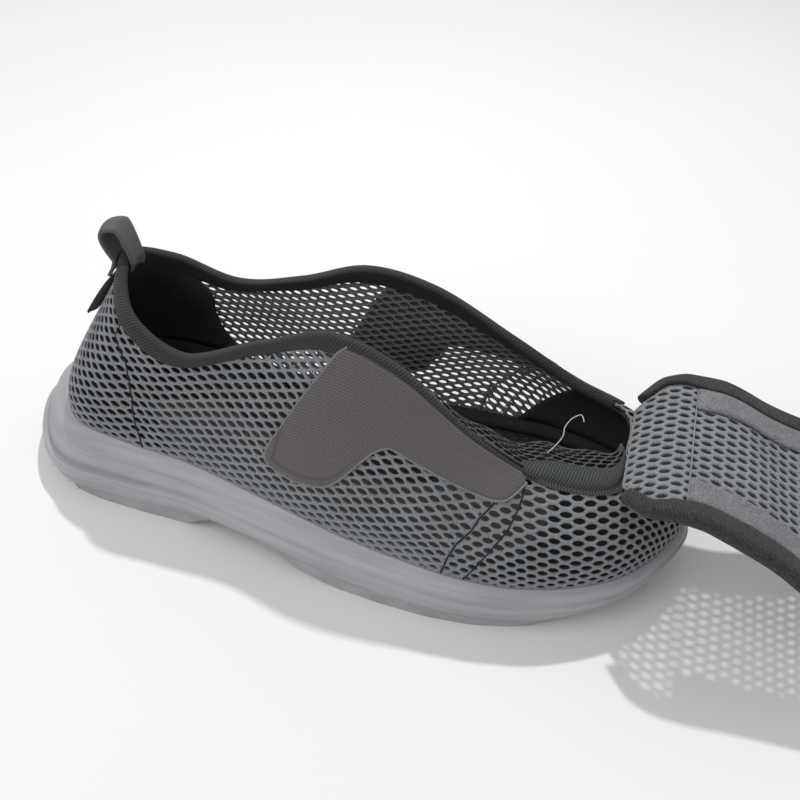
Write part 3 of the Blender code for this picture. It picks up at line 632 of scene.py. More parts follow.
@dataclass(frozen=True)
class Finish:
    """One surface finish: two colours that a pattern mixes, and its sheen, gloss and relief."""

    name: str
    pattern: Pattern
    light: tuple[float, float, float]
    dark: tuple[float, float, float]
    roughness: float = 0.8
    sheen: float = 0.0
    relief: float = 0.3
    pitch: float = 0.001
    gloss: float = 0.2

    @property
    def ribs(self) -> float:
        """Ribs in a unit of the piece's own map."""
        return 1.0 / (self.pitch * PER_METRE)

    def material(self) -> bpy.types.Material:
        """Return the finish's material, made at its first use."""
        return bpy.data.materials.get(self.name) or self.build()

    def build(self) -> bpy.types.Material:
        """Make the node material."""
        made = bpy.data.materials.new(self.name)
        made.use_nodes = True
        tree = NodeBoard(made.node_tree)
        shader = made.node_tree.nodes["Principled BSDF"]
        for key, value in (("Roughness", self.roughness), ("Specular IOR Level", self.gloss),
                           ("Sheen Weight", self.sheen), ("Sheen Roughness", 0.5)):
            shader.inputs[key].default_value = value
        mask, height = getattr(self, f"_{self.pattern.value}")(tree)
        made.node_tree.links.new(tree.mix(self.dark, self.light, mask), shader.inputs["Base Color"])
        if height is not None:
            made.node_tree.links.new(tree.bump(height, self.relief, self.pitch), shader.inputs["Normal"])
        made.diffuse_color = (*self.light, 1.0)
        return made

    def _net(self, tree: "NodeBoard") -> tuple:
        """Yarn with fine fibres, lighter on its ribs and darkened down the holes and on its inner face by
        painted shade.
        """
        fibre = tree.noise(tree.uv((1.0, 2.2, 1.0), 0.6), 14.0, 4.0)
        patch = tree.noise(tree.objects(), 60.0, 2.0)
        rib = tree.attribute("rib")
        painted_hole_shade = tree.ramp(rib, ((0.0, 1.0), (0.5, 0.60), (1.0, 0.20), (2.0, 0.08)), 2.0)
        light = tree.times(painted_hole_shade, tree.span(fibre, 0.34, 0.66, 0.45, 1.4))
        return tree.times(light, tree.span(patch, 0.3, 0.7, 0.86, 1.1)), fibre

    def _foam(self, tree: "NodeBoard") -> tuple:
        """Moulded foam: faint clouds, a few scuffs and long faint lines along the side, with a painted
        highlight on the side's ridge and painted shade in its groove and fine cut line.
        """
        cloud = tree.noise(tree.objects(), 22.0, 3.0)
        streak = tree.noise(tree.objects((26.0, 26.0, 420.0)), 1.0, 2.0)
        grain = tree.noise(tree.objects(), 2600.0, 2.0)
        mask = tree.plus(tree.span(cloud, 0.3, 0.7, 0.35, 0.75), tree.span(streak, 0.35, 0.65, -0.2, 0.2))
        # painted highlight and painted shade from the mark kept on the sole's rings
        mask = tree.plus(mask, tree.times(tree.attribute("rib"), 0.8))
        return mask, tree.plus(tree.times(grain, 0.35), tree.times(streak, 0.5))

    def _rubber(self, tree: "NodeBoard") -> tuple:
        """Rubber with a fine grain and floor dust."""
        dust = tree.noise(tree.objects(), 90.0, 4.0)
        grain = tree.noise(tree.objects(), 3000.0, 2.0)
        return tree.span(dust, 0.35, 0.7, 0.1, 0.9), grain

    def _twill(self, tree: "NodeBoard") -> tuple:
        """Slanted ribs of a narrow tape, broken up by fibres, with painted shade where the mesh marks it."""
        rib = tree.wave(tree.uv((1.0, 0.62, 1.0), 0.62), self.ribs, 1.6)
        fibre = tree.noise(tree.uv((4.0, 1.0, 1.0)), 60.0, 3.0)
        mask = tree.times(tree.span(rib, 0.0, 1.0, 0.25, 1.0), tree.span(fibre, 0.3, 0.7, 0.45, 1.3))
        # painted shade on the binding's lower edge and inner face
        mask = tree.times(mask, tree.span(tree.attribute("rib"), 0.0, 1.0, 1.0, 0.0))
        return mask, tree.plus(rib, tree.times(fibre, 0.7))

    def _fibre(self, tree: "NodeBoard") -> tuple:
        """Worn tape whose threads run along it, with pale loose fibres."""
        run = tree.noise(tree.uv((0.55, 5.0, 1.0), 0.12), 9.0, 4.0)
        cross = tree.wave(tree.uv((1.0, 0.5, 1.0), 0.5), self.ribs, 4.0)
        mask = tree.times(tree.span(run, 0.35, 0.68, 0.12, 1.25), tree.span(cross, 0.0, 1.0, 0.6, 1.1))
        return mask, tree.plus(run, tree.times(cross, 0.35))

    def _weave(self, tree: "NodeBoard") -> tuple:
        """Coarse loop cloth: rows of small knots crossed by threads."""
        rows = tree.wave(tree.uv((1.0, 1.0, 1.0), 1.5708), self.ribs, 1.6)
        knots = tree.wave(tree.uv((1.0, 1.0, 1.0), 0.3), self.ribs / 0.66, 3.0)
        fibre = tree.noise(tree.uv(), 34.0, 3.0)
        cross = tree.times(rows, tree.span(knots, 0.0, 1.0, 0.35, 1.0))
        mask = tree.times(tree.span(cross, 0.0, 0.9, 0.42, 1.05), tree.span(fibre, 0.3, 0.7, 0.45, 1.4))
        mask = tree.times(mask, tree.span(tree.attribute("rib"), 0.0, 1.0, 1.0, 0.35))
        return mask, tree.plus(cross, tree.times(fibre, 0.5))

    def _fuzz(self, tree: "NodeBoard") -> tuple:
        """Short bristles seen from above, as a fine salt and pepper."""
        fine = tree.noise(tree.objects(), 2400.0, 3.0)
        broad = tree.noise(tree.objects(), 260.0, 3.0)
        mask = tree.times(tree.span(fine, 0.35, 0.65, 0.15, 1.25), tree.span(broad, 0.3, 0.7, 0.75, 1.15))
        return mask, fine

    def _cloth(self, tree: "NodeBoard") -> tuple:
        """Plain close cloth."""
        warp = tree.noise(tree.objects(), 1800.0, 2.0)
        return tree.span(warp, 0.3, 0.7, 0.1, 0.9), warp

    def _floor(self, tree: "NodeBoard") -> tuple:
        """A plain pale floor with hardly any mottling."""
        return tree.span(tree.noise(tree.objects(), 5.0, 3.0), 0.3, 0.7, 0.3, 0.7), None


# the wave texture's scale at which a unit holds one rib
ONE_RIB = 0.31416


@dataclass
class NodeBoard:
    """A material's node tree with short calls for the nodes that the finishes use."""

    tree: bpy.types.NodeTree

    def _node(self, kind: str, **values: object) -> bpy.types.Node:
        """Add a node and set its properties."""
        made = self.tree.nodes.new(kind)
        for key, value in values.items():
            setattr(made, key, value)
        return made

    def _put(self, socket: Socket, value: object) -> None:
        """Link a socket, or set a number or colour on it."""
        if isinstance(value, Socket):
            self.tree.links.new(value, socket)
        else:
            socket.default_value = value

    def _placed(self, out: Socket, scale: tuple | None, turn: float) -> Socket:
        """Scale and turn coordinates about their origin."""
        if scale is None and turn == 0.0:
            return out
        mapping = self._node("ShaderNodeMapping")
        self._put(mapping.inputs["Vector"], out)
        mapping.inputs["Scale"].default_value = scale or (1.0, 1.0, 1.0)
        mapping.inputs["Rotation"].default_value = (0.0, 0.0, turn)
        return mapping.outputs[0]

    def objects(self, scale: tuple | None = None, turn: float = 0.0) -> Socket:
        """Return Object coordinates, in metres."""
        return self._placed(self._node("ShaderNodeTexCoord").outputs["Object"], scale, turn)

    def uv(self, scale: tuple | None = None, turn: float = 0.0) -> Socket:
        """Return the piece's own map, in centimetres."""
        return self._placed(self._node("ShaderNodeUVMap", uv_map="weave").outputs[0], scale, turn)

    def attribute(self, name: str) -> Socket:
        """Return a number kept on the mesh."""
        return self._node("ShaderNodeAttribute", attribute_name=name).outputs["Fac"]

    def noise(self, coordinates: Socket, scale: float, detail: float) -> Socket:
        """Return soft noise."""
        made = self._node("ShaderNodeTexNoise")
        self._put(made.inputs["Vector"], coordinates)
        made.inputs["Scale"].default_value = scale
        made.inputs["Detail"].default_value = detail
        return made.outputs["Fac"]

    def wave(self, coordinates: Socket, lines: float, wander: float) -> Socket:
        """Return ribs across the first axis, so many in a unit, that wander a little."""
        made = self._node("ShaderNodeTexWave", wave_type="BANDS", bands_direction="X", wave_profile="SIN")
        self._put(made.inputs["Vector"], coordinates)
        made.inputs["Scale"].default_value = lines * ONE_RIB
        made.inputs["Distortion"].default_value = wander
        made.inputs["Detail"].default_value = 1.0
        made.inputs["Detail Scale"].default_value = 2.0
        return made.outputs["Fac"]

    def _math(self, kind: str, first: object, second: object) -> Socket:
        """Return two values joined by an operation."""
        made = self._node("ShaderNodeMath", operation=kind)
        self._put(made.inputs[0], first)
        self._put(made.inputs[1], second)
        return made.outputs[0]

    def times(self, first: object, second: object) -> Socket:
        """Return the product of two values."""
        return self._math("MULTIPLY", first, second)

    def plus(self, first: object, second: object) -> Socket:
        """Return the sum of two values."""
        return self._math("ADD", first, second)

    def span(self, value: Socket, *ends: float) -> Socket:
        """Stretch a value from one span to another, by the ends of both, and hold it there."""
        made = self._node("ShaderNodeMapRange", clamp=True)
        self._put(made.inputs["Value"], value)
        for key, number in zip(("From Min", "From Max", "To Min", "To Max"), ends):
            made.inputs[key].default_value = number
        return made.outputs[0]

    def ramp(self, value: Socket, stops: tuple, top: float) -> Socket:
        """Read a value from 0 to top through grey stops."""
        made = self._node("ShaderNodeValToRGB")
        self._put(made.inputs[0], self.span(value, 0.0, top, 0.0, 1.0))
        points = made.color_ramp.elements
        while len(points) < len(stops):
            points.new(0.5)
        for point, (at, grey) in zip(points, stops):
            point.position = at / top
            point.color = (grey, grey, grey, 1.0)
        return made.outputs[0]

    def mix(self, dark: tuple, light: tuple, mask: Socket) -> Socket:
        """Mix two colours by a mask."""
        made = self._node("ShaderNodeMix", data_type="RGBA")
        self._put(made.inputs["Factor"], mask)
        made.inputs[6].default_value, made.inputs[7].default_value = (*dark, 1.0), (*light, 1.0)
        return made.outputs[2]

    def bump(self, height: Socket, strength: float, distance: float) -> Socket:
        """Turn a height into a normal."""
        made = self._node("ShaderNodeBump")
        made.inputs["Strength"].default_value = strength
        made.inputs["Distance"].default_value = distance
        self._put(made.inputs["Height"], height)
        return made.outputs[0]


# name, pattern, light and dark colours, then roughness, sheen, relief, pitch in metres and gloss
NET = Finish("knitted_net", Pattern.NET, (0.245, 0.258, 0.276), (0.014, 0.015, 0.016),
             0.75, 0.08, 0.5, 0.0005)
DIM_NET = Finish("shaded_net", Pattern.NET, (0.085, 0.092, 0.098), (0.008, 0.009, 0.009),
                 0.8, 0.05, 0.5, 0.0005, 0.1)
FOAM = Finish("moulded_foam", Pattern.FOAM, (0.42, 0.412, 0.438), (0.28, 0.275, 0.298),
              0.55, 0.0, 0.12, 0.0006, 0.35)
RUBBER = Finish("tread_rubber", Pattern.RUBBER, (0.42, 0.415, 0.44), (0.31, 0.305, 0.325),
                0.7, 0.0, 0.2, 0.0005)
TAPE = Finish("twill_tape", Pattern.TWILL, (0.062, 0.064, 0.061), (0.017, 0.017, 0.017),
              0.8, 0.08, 0.4, 0.0011, 0.1)
FLAP_EDGE = Finish("fibrous_tape", Pattern.FIBRE, (0.075, 0.075, 0.073), (0.010, 0.010, 0.010),
                   0.8, 0.1, 0.7, 0.0009, 0.1)
LIP = Finish("drawn_net", Pattern.TWILL, (0.115, 0.123, 0.130), (0.012, 0.013, 0.014),
             0.8, 0.05, 0.7, 0.0010, 0.1)
LOOPS = Finish("loop_cloth", Pattern.WEAVE, (0.190, 0.170, 0.181), (0.045, 0.038, 0.043),
               0.85, 0.1, 0.5, 0.00112, 0.1)
# the patches' pale edge: its overlock stitching, lighter still as a painted highlight along the rolled edge
EDGING = Finish("patch_edge", Pattern.CLOTH, (0.24, 0.24, 0.245), (0.12, 0.12, 0.125),
                0.8, 0.1, 0.4, 0.0004)
HOOKS = Finish("hook_bristle", Pattern.FUZZ, (0.24, 0.24, 0.27), (0.055, 0.055, 0.065),
               0.8, 0.15, 0.7, 0.0006, 0.1)
WEBBING = Finish("loop_webbing", Pattern.TWILL, (0.29, 0.29, 0.29), (0.05, 0.05, 0.05),
                 0.6, 0.1, 0.5, 0.0012)
LINING = Finish("black_lining", Pattern.CLOTH, (0.050, 0.050, 0.046), (0.034, 0.034, 0.031),
                0.95, 0.0, 0.3, 0.0004, 0.05)
BLACK_CLOTH = Finish("tab_cloth", Pattern.CLOTH, (0.016, 0.013, 0.015), (0.006, 0.005, 0.006),
                     0.8, 0.02, 0.5, 0.0005, 0.1)
SEAM = Finish("seam_thread", Pattern.CLOTH, (0.030, 0.032, 0.035), (0.010, 0.010, 0.012),
              0.85, 0.0, 0.4, 0.0003)
PALE_THREAD = Finish("pale_thread", Pattern.CLOTH, (0.62, 0.62, 0.60), (0.40, 0.40, 0.38),
                     0.7, 0.1, 0.3, 0.0002)
FLOOR = Finish("pale_floor", Pattern.FLOOR, (0.835, 0.832, 0.822), (0.805, 0.802, 0.792), 0.75)


@dataclass
class Piece:
    """A mesh being gathered from grids and faces before it becomes an object."""

    name: str
    finish: Finish
    slot: str
    stands_for: tuple[str, ...] = ()
    points: list[Array] = field(default_factory=list)
    faces: list[Array] = field(default_factory=list)
    maps: list[Array] = field(default_factory=list)
    ribs: list[Array] = field(default_factory=list)
    count: int = 0

    def add(self, points: Array, faces: Array, weave: Grid = None, rib: Grid = None) -> "Piece":
        """Add points with their faces.

        Args:
            points: Rows of x, y, z.
            faces: Rows of four point numbers.
            weave: The piece's own map for each point, in centimetres.
            rib: A mark for each point that the finishes turn into colour: painted shade down the net's holes
                and on the binding, painted highlight and shade on the sole's side, and a darker hem line on
                the loop patches.

        Returns:
            The piece itself.
        """
        self.points.append(points)
        self.faces.append(faces + self.count)
        self.maps.append(np.zeros((len(points), 2)) if weave is None else weave)
        self.ribs.append(np.zeros(len(points)) if rib is None else rib)
        self.count += len(points)
        return self

    def add_grid(self, grid: Array, weave: Grid = None, closed: tuple[bool, bool] = (False, False),
                 rib: Grid = None) -> "Piece":
        """Add a grid of points as quads, joined round its rows or columns where closed says so."""
        rows, columns, _ = grid.shape
        a = np.arange(rows * columns).reshape(rows, columns)
        if closed[0]:
            a = np.concatenate([a, a[:1]], axis=0)
        if closed[1]:
            a = np.concatenate([a, a[:, :1]], axis=1)
        quads = np.stack([a[:-1, :-1], a[:-1, 1:], a[1:, 1:], a[1:, :-1]], axis=-1).reshape(-1, 4)
        return self.add(grid.reshape(-1, 3), quads, None if weave is None else weave.reshape(-1, 2),
                        None if rib is None else rib.ravel())

    def add_loft(self, sections: Array, weave: Grid = None, rib: Grid = None) -> "Piece":
        """Add closed sections in a row, with an end cap fanned to the middle of each end."""
        low, high = (np.broadcast_to(end.mean(axis=0), (1, *end.shape)) for end in sections[[0, -1]])
        weave, rib = (None if kept is None else np.concatenate([kept[:1], kept, kept[-1:]])
                      for kept in (weave, rib))
        return self.add_grid(np.concatenate([low, sections, high]), weave, (False, True), rib)

    def add_sheet(self, outer: Array, inner: Array, weave: Grid = None, rib: Grid = None) -> "Piece":
        """Add two matching grids and close them along their four edges."""
        self.add_grid(outer, weave, rib=rib).add_grid(inner, weave)
        for cut in (np.s_[0], np.s_[-1], np.s_[:, 0], np.s_[:, -1]):
            self.add_grid(np.stack([outer[cut], inner[cut]]),
                          None if weave is None else np.stack([weave[cut], weave[cut]]))
        return self

    def finished(self) -> bpy.types.Object:
        """Make the object, merge its doubles, point its faces outward, fix it to the root body and hide the
        CAD nodes it stands for.
        """
        mesh = bpy.data.meshes.new(self.name)
        points, faces = np.concatenate(self.points), np.concatenate(self.faces)
        mesh.from_pydata(points.tolist(), [], faces.tolist())
        weave = mesh.uv_layers.new(name="weave")
        spots = np.empty(len(mesh.loops), dtype=np.int32)
        mesh.loops.foreach_get("vertex_index", spots)
        weave.data.foreach_set("uv", np.concatenate(self.maps)[spots].astype(np.float32).ravel())
        rib = mesh.attributes.new("rib", "FLOAT", "POINT")
        rib.data.foreach_set("value", np.concatenate(self.ribs).astype(np.float32))
        body = bmesh.new()
        body.from_mesh(mesh)
        bmesh.ops.remove_doubles(body, verts=body.verts, dist=SAME_PLACE)
        bmesh.ops.dissolve_degenerate(body, edges=body.edges, dist=NO_LENGTH)
        bmesh.ops.recalc_face_normals(body, faces=body.faces)
        body.to_mesh(mesh)
        body.free()
        mesh.shade_smooth()
        mesh.materials.append(self.finish.material())
        made = linked(self.name, mesh)
        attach(made, "root")
        if self.stands_for:
            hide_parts(*self.stands_for)
        LOG.info("%s: %d faces", self.name, len(mesh.polygons))
        return made


# rounds of laying a panel flat, rounds of finding a place on it, and the step that its slopes are taken over
FLATTENINGS = 40
SEARCHES = 12
SEARCH_STEP = 0.004


class FlatCut:
    """A curved panel laid flat with its lengths kept as well as they can be, for a net's cells."""

    def __init__(self, surface: Surface, rows: int, columns: int,
                 spread: Callable[[Array, Array], Array] | None = None) -> None:
        """Lay the surface flat.

        The start is a plain map by lengths. Then each triangle is turned to fit the flat map, and the
        points are moved to the best mean of their triangles, over and over, which keeps lengths.

        Args:
            surface: Takes two shares from 0 to 1 and a depth, and gives points.
            rows: Stations along the second share.
            columns: Stations along the first share.
            spread: Gives the flat places itself, for a piece that is drawn over the toe.
        """
        self.shape = (rows, columns)
        first, second = np.meshgrid(np.linspace(0, 1, columns), np.linspace(0, 1, rows))
        if spread is not None:
            self.flat = spread(first, second)
            return
        points = surface(first, second, np.zeros_like(first))
        flat = (travel(points[rows // 2])[None, :] + 1j * travel(points)).ravel()
        spots = np.arange(rows * columns).reshape(rows, columns)
        a, b, c, d = (g.ravel() for g in (spots[:-1, :-1], spots[:-1, 1:], spots[1:, 1:], spots[1:, :-1]))
        corners = np.concatenate([np.stack([a, b, c], axis=1), np.stack([a, c, d], axis=1)])
        p = points.reshape(-1, 3)[corners]
        side, other = p[:, 1] - p[:, 0], p[:, 2] - p[:, 0]
        long_way = unit(side)
        lift = np.cross(np.cross(side, other), long_way)
        local = np.stack([np.zeros(len(p)), (side * long_way).sum(1),
                          (other * long_way).sum(1) + 1j * (other * unit(lift)).sum(1)], axis=1)
        edges = local[:, [1, 2, 0]] - local
        away = local[:, [2, 0, 1]]
        spanned = (local - away) * np.conj(local[:, [1, 2, 0]] - away)
        weights = np.clip(spanned.real / np.maximum(np.abs(spanned.imag), 1e-12), 1e-3, 20.0)
        start, end = corners, corners[:, [1, 2, 0]]
        count = rows * columns
        pull = np.zeros((count, count))
        for near, far, way in ((start, start, 1.0), (end, end, 1.0), (start, end, -1.0), (end, start, -1.0)):
            np.add.at(pull, (near, far), way * weights)
        pull[0, 0] += 1.0
        solve = np.linalg.inv(pull)
        for _ in range(FLATTENINGS):
            turn = (weights * (flat[end] - flat[start]) * np.conj(edges)).sum(axis=1)
            turn = turn / np.maximum(np.abs(turn), 1e-15)
            wanted = weights * turn[:, None] * edges
            right = np.zeros(count, dtype=complex)
            np.add.at(right, end, wanted)
            np.add.at(right, start, -wanted)
            right[0] += flat[0]
            flat = solve @ right
        self.flat = flat.reshape(rows, columns)

    def at(self, first: Array, second: Array) -> Array:
        """Return flat places of the shares, as complex numbers in metres."""
        rows, columns = self.shape
        x, y = np.clip(first, 0, 1) * (columns - 1), np.clip(second, 0, 1) * (rows - 1)
        i, j = np.minimum(x.astype(int), columns - 2), np.minimum(y.astype(int), rows - 2)
        u, v = x - i, y - j
        low, high = (self.flat[row, i] * (1 - u) + self.flat[row, i + 1] * u for row in (j, j + 1))
        return low * (1 - v) + high * v

    def find(self, places: Array) -> tuple[Array, Array, Array]:
        """Find the shares that lie at flat places, held to the panel: steps along the map's own slopes.

        Args:
            places: Flat places as complex numbers.

        Returns:
            Both shares, and how far outside the panel each place lies.
        """
        rows, columns = self.shape
        nearest = np.abs(places.ravel()[:, None] - self.flat.ravel()[None, :]).argmin(axis=1)
        nearest = nearest.reshape(places.shape)
        first, second = (nearest % columns) / (columns - 1), (nearest // columns) / (rows - 1)
        for _ in range(SEARCHES):
            low, high = (np.clip(first + step, 0, 1) for step in (-SEARCH_STEP, SEARCH_STEP))
            along = (self.at(high, second) - self.at(low, second)) / (high - low)
            low, high = (np.clip(second + step, 0, 1) for step in (-SEARCH_STEP, SEARCH_STEP))
            up = (self.at(first, high) - self.at(first, low)) / (high - low)
            miss = places - self.at(first, second)
            area = (np.conj(along) * up).imag
            first = np.clip(first + (np.conj(miss) * up).imag / area, 0.0, 1.0)
            second = np.clip(second - (np.conj(miss) * along).imag / area, 0.0, 1.0)
        return first, second, np.abs(places - self.at(first, second))


# a rib's section: how far from its middle to the hole's edge, depth as a share of the wall, and the painted
# shade that darkens it there
RIB = (
    (0.00, 0.00, 0.0),
    (0.72, 0.05, 0.10),
    (1.00, 0.26, 0.8),
    (0.88, 0.62, 1.1),
    (0.66, 0.93, 0.5),
    (0.00, 0.97, 0.2),
)


# a cell's flat side as a share of its long step, how far outside the panel its middle may lie as a share
# of its short step, the least share of its area that is kept, and corner keys in a metre
CELL_FLAT = 0.27
CELL_OUTSIDE = 0.42
CELL_LEAST = 0.06
CORNER_KEYS = 2e5


@dataclass(frozen=True)
class Knit:
    """The net's cells: staggered oval holes whose long way is turned from the panel's own long way."""

    long_step: float
    short_step: float
    hole_long: float
    hole_short: float
    turn: float = 0.0

    def outline(self) -> Array:
        """Return the twelve corners of one cell, as complex numbers about its middle."""
        flat_half = self.long_step * CELL_FLAT
        tip = self.long_step - flat_half
        six = np.array([tip, flat_half + 0.5j * self.short_step, -flat_half + 0.5j * self.short_step,
                        -tip, -flat_half - 0.5j * self.short_step, flat_half - 0.5j * self.short_step])
        return np.stack([six, 0.5 * (six + np.roll(six, -1))], axis=1).ravel()

    def cut(self, piece: Piece, surface: Surface, sheet: FlatCut, anchor: tuple[float, float],
            thickness: float, squeeze: Callable[[Array], Array] | None = None) -> Piece:
        """Fill a panel with cells and add them to the piece.

        Args:
            piece: The piece that takes the cells.
            surface: The panel's surface.
            sheet: The same panel laid flat.
            anchor: The shares where the long way is measured.
            thickness: The net's thickness.
            squeeze: How open a hole is at a second share, from 0 to 1.

        Returns:
            The piece itself.
        """
        middle, up = np.array(anchor[0]), np.array(anchor[1])
        origin = sheet.at(middle, up)
        ahead = sheet.at(np.clip(middle + 0.02, 0, 1), up) - sheet.at(np.clip(middle - 0.02, 0, 1), up)
        way = ahead / abs(ahead) * np.exp(1j * np.radians(self.turn))
        local = (sheet.flat - origin) / way
        i, j = (np.arange(np.floor(part.min() / step) - 1, part.max() / step + 2)
                for part, step in ((local.real, self.long_step), (local.imag, self.short_step)))
        i, j = (g.ravel() for g in np.meshgrid(i, j))
        middles = origin + way * (i * self.long_step + 1j * (j + 0.5 * np.mod(i, 2)) * self.short_step)
        middles = middles[sheet.find(middles)[2] < CELL_OUTSIDE * self.short_step]
        ring = way * self.outline()
        corners = middles[:, None] + ring[None, :]
        first, second, _ = sheet.find(corners)
        held = sheet.at(first, second)
        size = self._area(held) / self._area(ring[None, :])
        keep = size > CELL_LEAST
        corners, first, second, size = corners[keep], first[keep], second[keep], size[keep]
        middle_first, middle_second = first.mean(axis=1), second.mean(axis=1)
        angle = np.angle(self.outline())
        across, upward = self.hole_short * np.cos(angle), self.hole_long * np.sin(angle)
        reach = self.hole_long * self.hole_short / np.hypot(across, upward)
        share = reach / np.abs(self.outline())
        opened = smooth_step(0.30, 0.85, size)
        if squeeze is not None:
            opened = opened * squeeze(middle_second)
        hole = 1.0 - np.clip(share[None, :] * (0.04 + 0.96 * opened[:, None]), 0.02, 0.93)
        keys = np.stack([corners.real, corners.imag], axis=-1).reshape(-1, 2) * CORNER_KEYS
        keys = np.round(keys).astype(np.int64)
        _, pick, numbers = np.unique(keys, axis=0, return_index=True, return_inverse=True)
        numbers = numbers.reshape(corners.shape)
        cells, around = corners.shape
        points, maps, ribs, rings, start = [], [], [], [], 0
        for along, deep, shade in RIB:
            if along == 0.0:
                a, b = first.ravel()[pick], second.ravel()[pick]
                rings.append(start + numbers)
            else:
                pull = along * hole
                a = (first + (middle_first[:, None] - first) * pull).ravel()
                b = (second + (middle_second[:, None] - second) * pull).ravel()
                rings.append(start + np.arange(cells * around).reshape(cells, around))
            points.append(surface(a, b, np.full(a.shape, deep * thickness)))
            spot = sheet.at(a, b)
            maps.append(np.stack([spot.real, spot.imag], axis=-1) * PER_METRE)
            # the shade column is kept on the points so that the net's finish paints shade down the holes
            ribs.append(np.full(len(a), shade))
            start += len(a)
        ahead_of = [np.roll(one, -1, axis=1) for one in rings]
        quads = [np.stack([rings[k], ahead_of[k], ahead_of[k + 1], rings[k + 1]], axis=-1).reshape(-1, 4)
                 for k in range(len(rings) - 1)]
        quads.append(self._border(rings[0], rings[-1]))
        return piece.add(*(np.concatenate(part) for part in (points, quads, maps, ribs)))

    @staticmethod
    def _area(rings: Array) -> Array:
        """Return the areas inside rings of complex points."""
        return 0.5 * (np.conj(rings) * np.roll(rings, -1, axis=1)).imag.sum(axis=1)

    @staticmethod
    def _border(front: Array, rear: Array) -> Array:
        """Return the faces that join front and back along edges that only one cell has."""
        ends = np.stack([front, np.roll(front, -1, axis=1)], axis=-1).reshape(-1, 2)
        behind = np.stack([rear, np.roll(rear, -1, axis=1)], axis=-1).reshape(-1, 2)
        low, high = ends.min(axis=1), ends.max(axis=1)
        _, which, times = np.unique(low * (high.max() + 1) + high, return_inverse=True, return_counts=True)
        alone = (times[which.ravel()] == 1) & (ends[:, 0] != ends[:, 1])
        return np.column_stack([ends[alone][:, ::-1], behind[alone]])


SIDE_KNIT = Knit(0.0036, 0.0044, 0.00230, 0.00090, -27.0)
TOE_KNIT = Knit(0.0047, 0.0044, 0.00240, 0.00112, -66.0)
LIP_KNIT = Knit(0.0038, 0.0038, 0.0024, 0.0013, 24.0)
FLAP_KNIT = Knit(0.0047, 0.0044, 0.00215, 0.00098)


def seam_line(seam: tuple, rise: Array) -> Array:
    """Return the round of a seam at each rise, straight between its points."""
    places = sorted((v, u) for u, v in seam)
    return np.interp(rise, [v for v, _ in places], [u for _, u in places])


def ribbon(path: Array, facing: Array, profile: Array) -> Array:
    """Carry a flat profile along a path, its first number aside and its second the facing way.

    Args:
        path: Points in a row.
        facing: The outward way at each point.
        profile: Pairs of numbers in metres.

    Returns:
        One closed section for each point.
    """
    ahead = unit(np.gradient(path, axis=0))
    aside = unit(np.cross(facing, ahead))
    return path[:, None] + aside[:, None] * profile[None, :, :1] + facing[:, None] * profile[None, :, 1:]


def round_profile(radius: float, sides: int, flat: float = 1.0) -> Array:
    """Return a round profile, made lower by flat."""
    turn = np.linspace(0.0, 2 * np.pi, sides, endpoint=False)
    return np.column_stack([np.cos(turn), np.sin(turn) * flat]) * radius


@dataclass
class SoleUnit:
    """The moulded foam sole with its stepped side, the foot bed in its dish, and the two tread pads."""

    last: Last
    every: int = 7
    strips: int = 6

    def _capped(self, piece: Piece, rings: Array, painted_light: Grid = None) -> Piece:
        """Add stacked rings, and close the first and last by strips straight across them."""
        count = rings.shape[1]
        half = count // 2
        steps = np.linspace(0.0, 1.0, self.strips + 1)[None, :, None]
        left, right = np.arange(half + 1), (count - np.arange(half + 1)) % count
        for ring in (rings[0], rings[-1]):
            piece.add_grid(ring[left][:, None] * (1 - steps) + ring[right][:, None] * steps)
        return piece.add_grid(rings, None, (False, True), painted_light)

    def midsole(self) -> None:
        """Build the foam: rings from its underside over the belt, groove and upper step to the dish."""
        last, thin = self.last, slice(None, None, self.every)
        base, belt, feather = (last.height(name) for name in ("base", "belt", "feather"))
        base_in, feather_in = last.inset("base"), last.inset("feather")
        groove = between(SOLE_INSETS, 4, last.share) * SIDE_GROOVE
        rings, painted_light = [], []
        for rise, inset, cut in UNDER_STEPS:
            rings.append(last.sole_ring(base_in * inset + cut, base + rise * (belt - base)))
            # painted shade in the fine cut line
            painted_light.append(np.full(AROUND, -0.7 if cut else 0.0))
        for rise, inset, cut in SIDE_STEPS:
            rings.append(last.sole_ring(feather_in * inset + groove * cut, belt + (feather - belt) * rise))
            # painted highlight on the ridge and painted shade in the groove above it, scaled by the groove's
            # depth
            painted_light.append(groove / SIDE_GROOVE * (1.0 if cut < -0.2 else -0.8 if cut > 1.0 else 0.0))
        floor = feather - FOOTBED_DROP - INSOLE_THICKNESS
        rings.append(last.sole_ring(feather_in + LEDGE, feather))
        rings.append(last.sole_ring(feather_in + LEDGE + FIT_GAP, floor))
        painted_light += [np.zeros(AROUND)] * 2
        piece = Piece("foam_sole", FOAM, "foam", ("midsole",))
        self._capped(piece, np.stack(rings)[:, thin], np.stack(painted_light)[:, thin]).finished()

    def insole(self) -> None:
        """Build the foot bed with its rounded edge, and the dark rand that hides the joint round it."""
        last, thin = self.last, slice(None, None, self.every * 2)
        feather, feather_in = last.height("feather"), last.inset("feather")
        floor, inset = feather - FOOTBED_DROP - INSOLE_THICKNESS, feather_in + LEDGE + 3 * FIT_GAP
        bed = np.stack([last.sole_ring(inset + extra, floor + up) for extra, up in BED_EDGE])
        self._capped(Piece("foot_bed", LINING, "footbed_foam", ("insole",)), bed[:, thin]).finished()
        rand = np.stack([last.sole_ring(feather_in + extra, feather + up) for extra, up in RAND])
        Piece("inner_rand", LINING, "footbed_foam").add_grid(rand[:, thin], None, (True, True)).finished()

    def build(self) -> None:
        """Build the sole's pieces and dress its treads."""
        self.midsole()
        self.insole()
        for name in ("heel_tread", "forefoot_tread"):
            dress_node(name, RUBBER)


def dress_node(name: str, finish: Finish) -> None:
    """Give a CAD node that stays its finish."""
    node = bpy.data.objects[name]
    made = finish.material()
    if not node.material_slots:
        node.data.materials.append(made)
    for place in node.material_slots:
        place.material = made


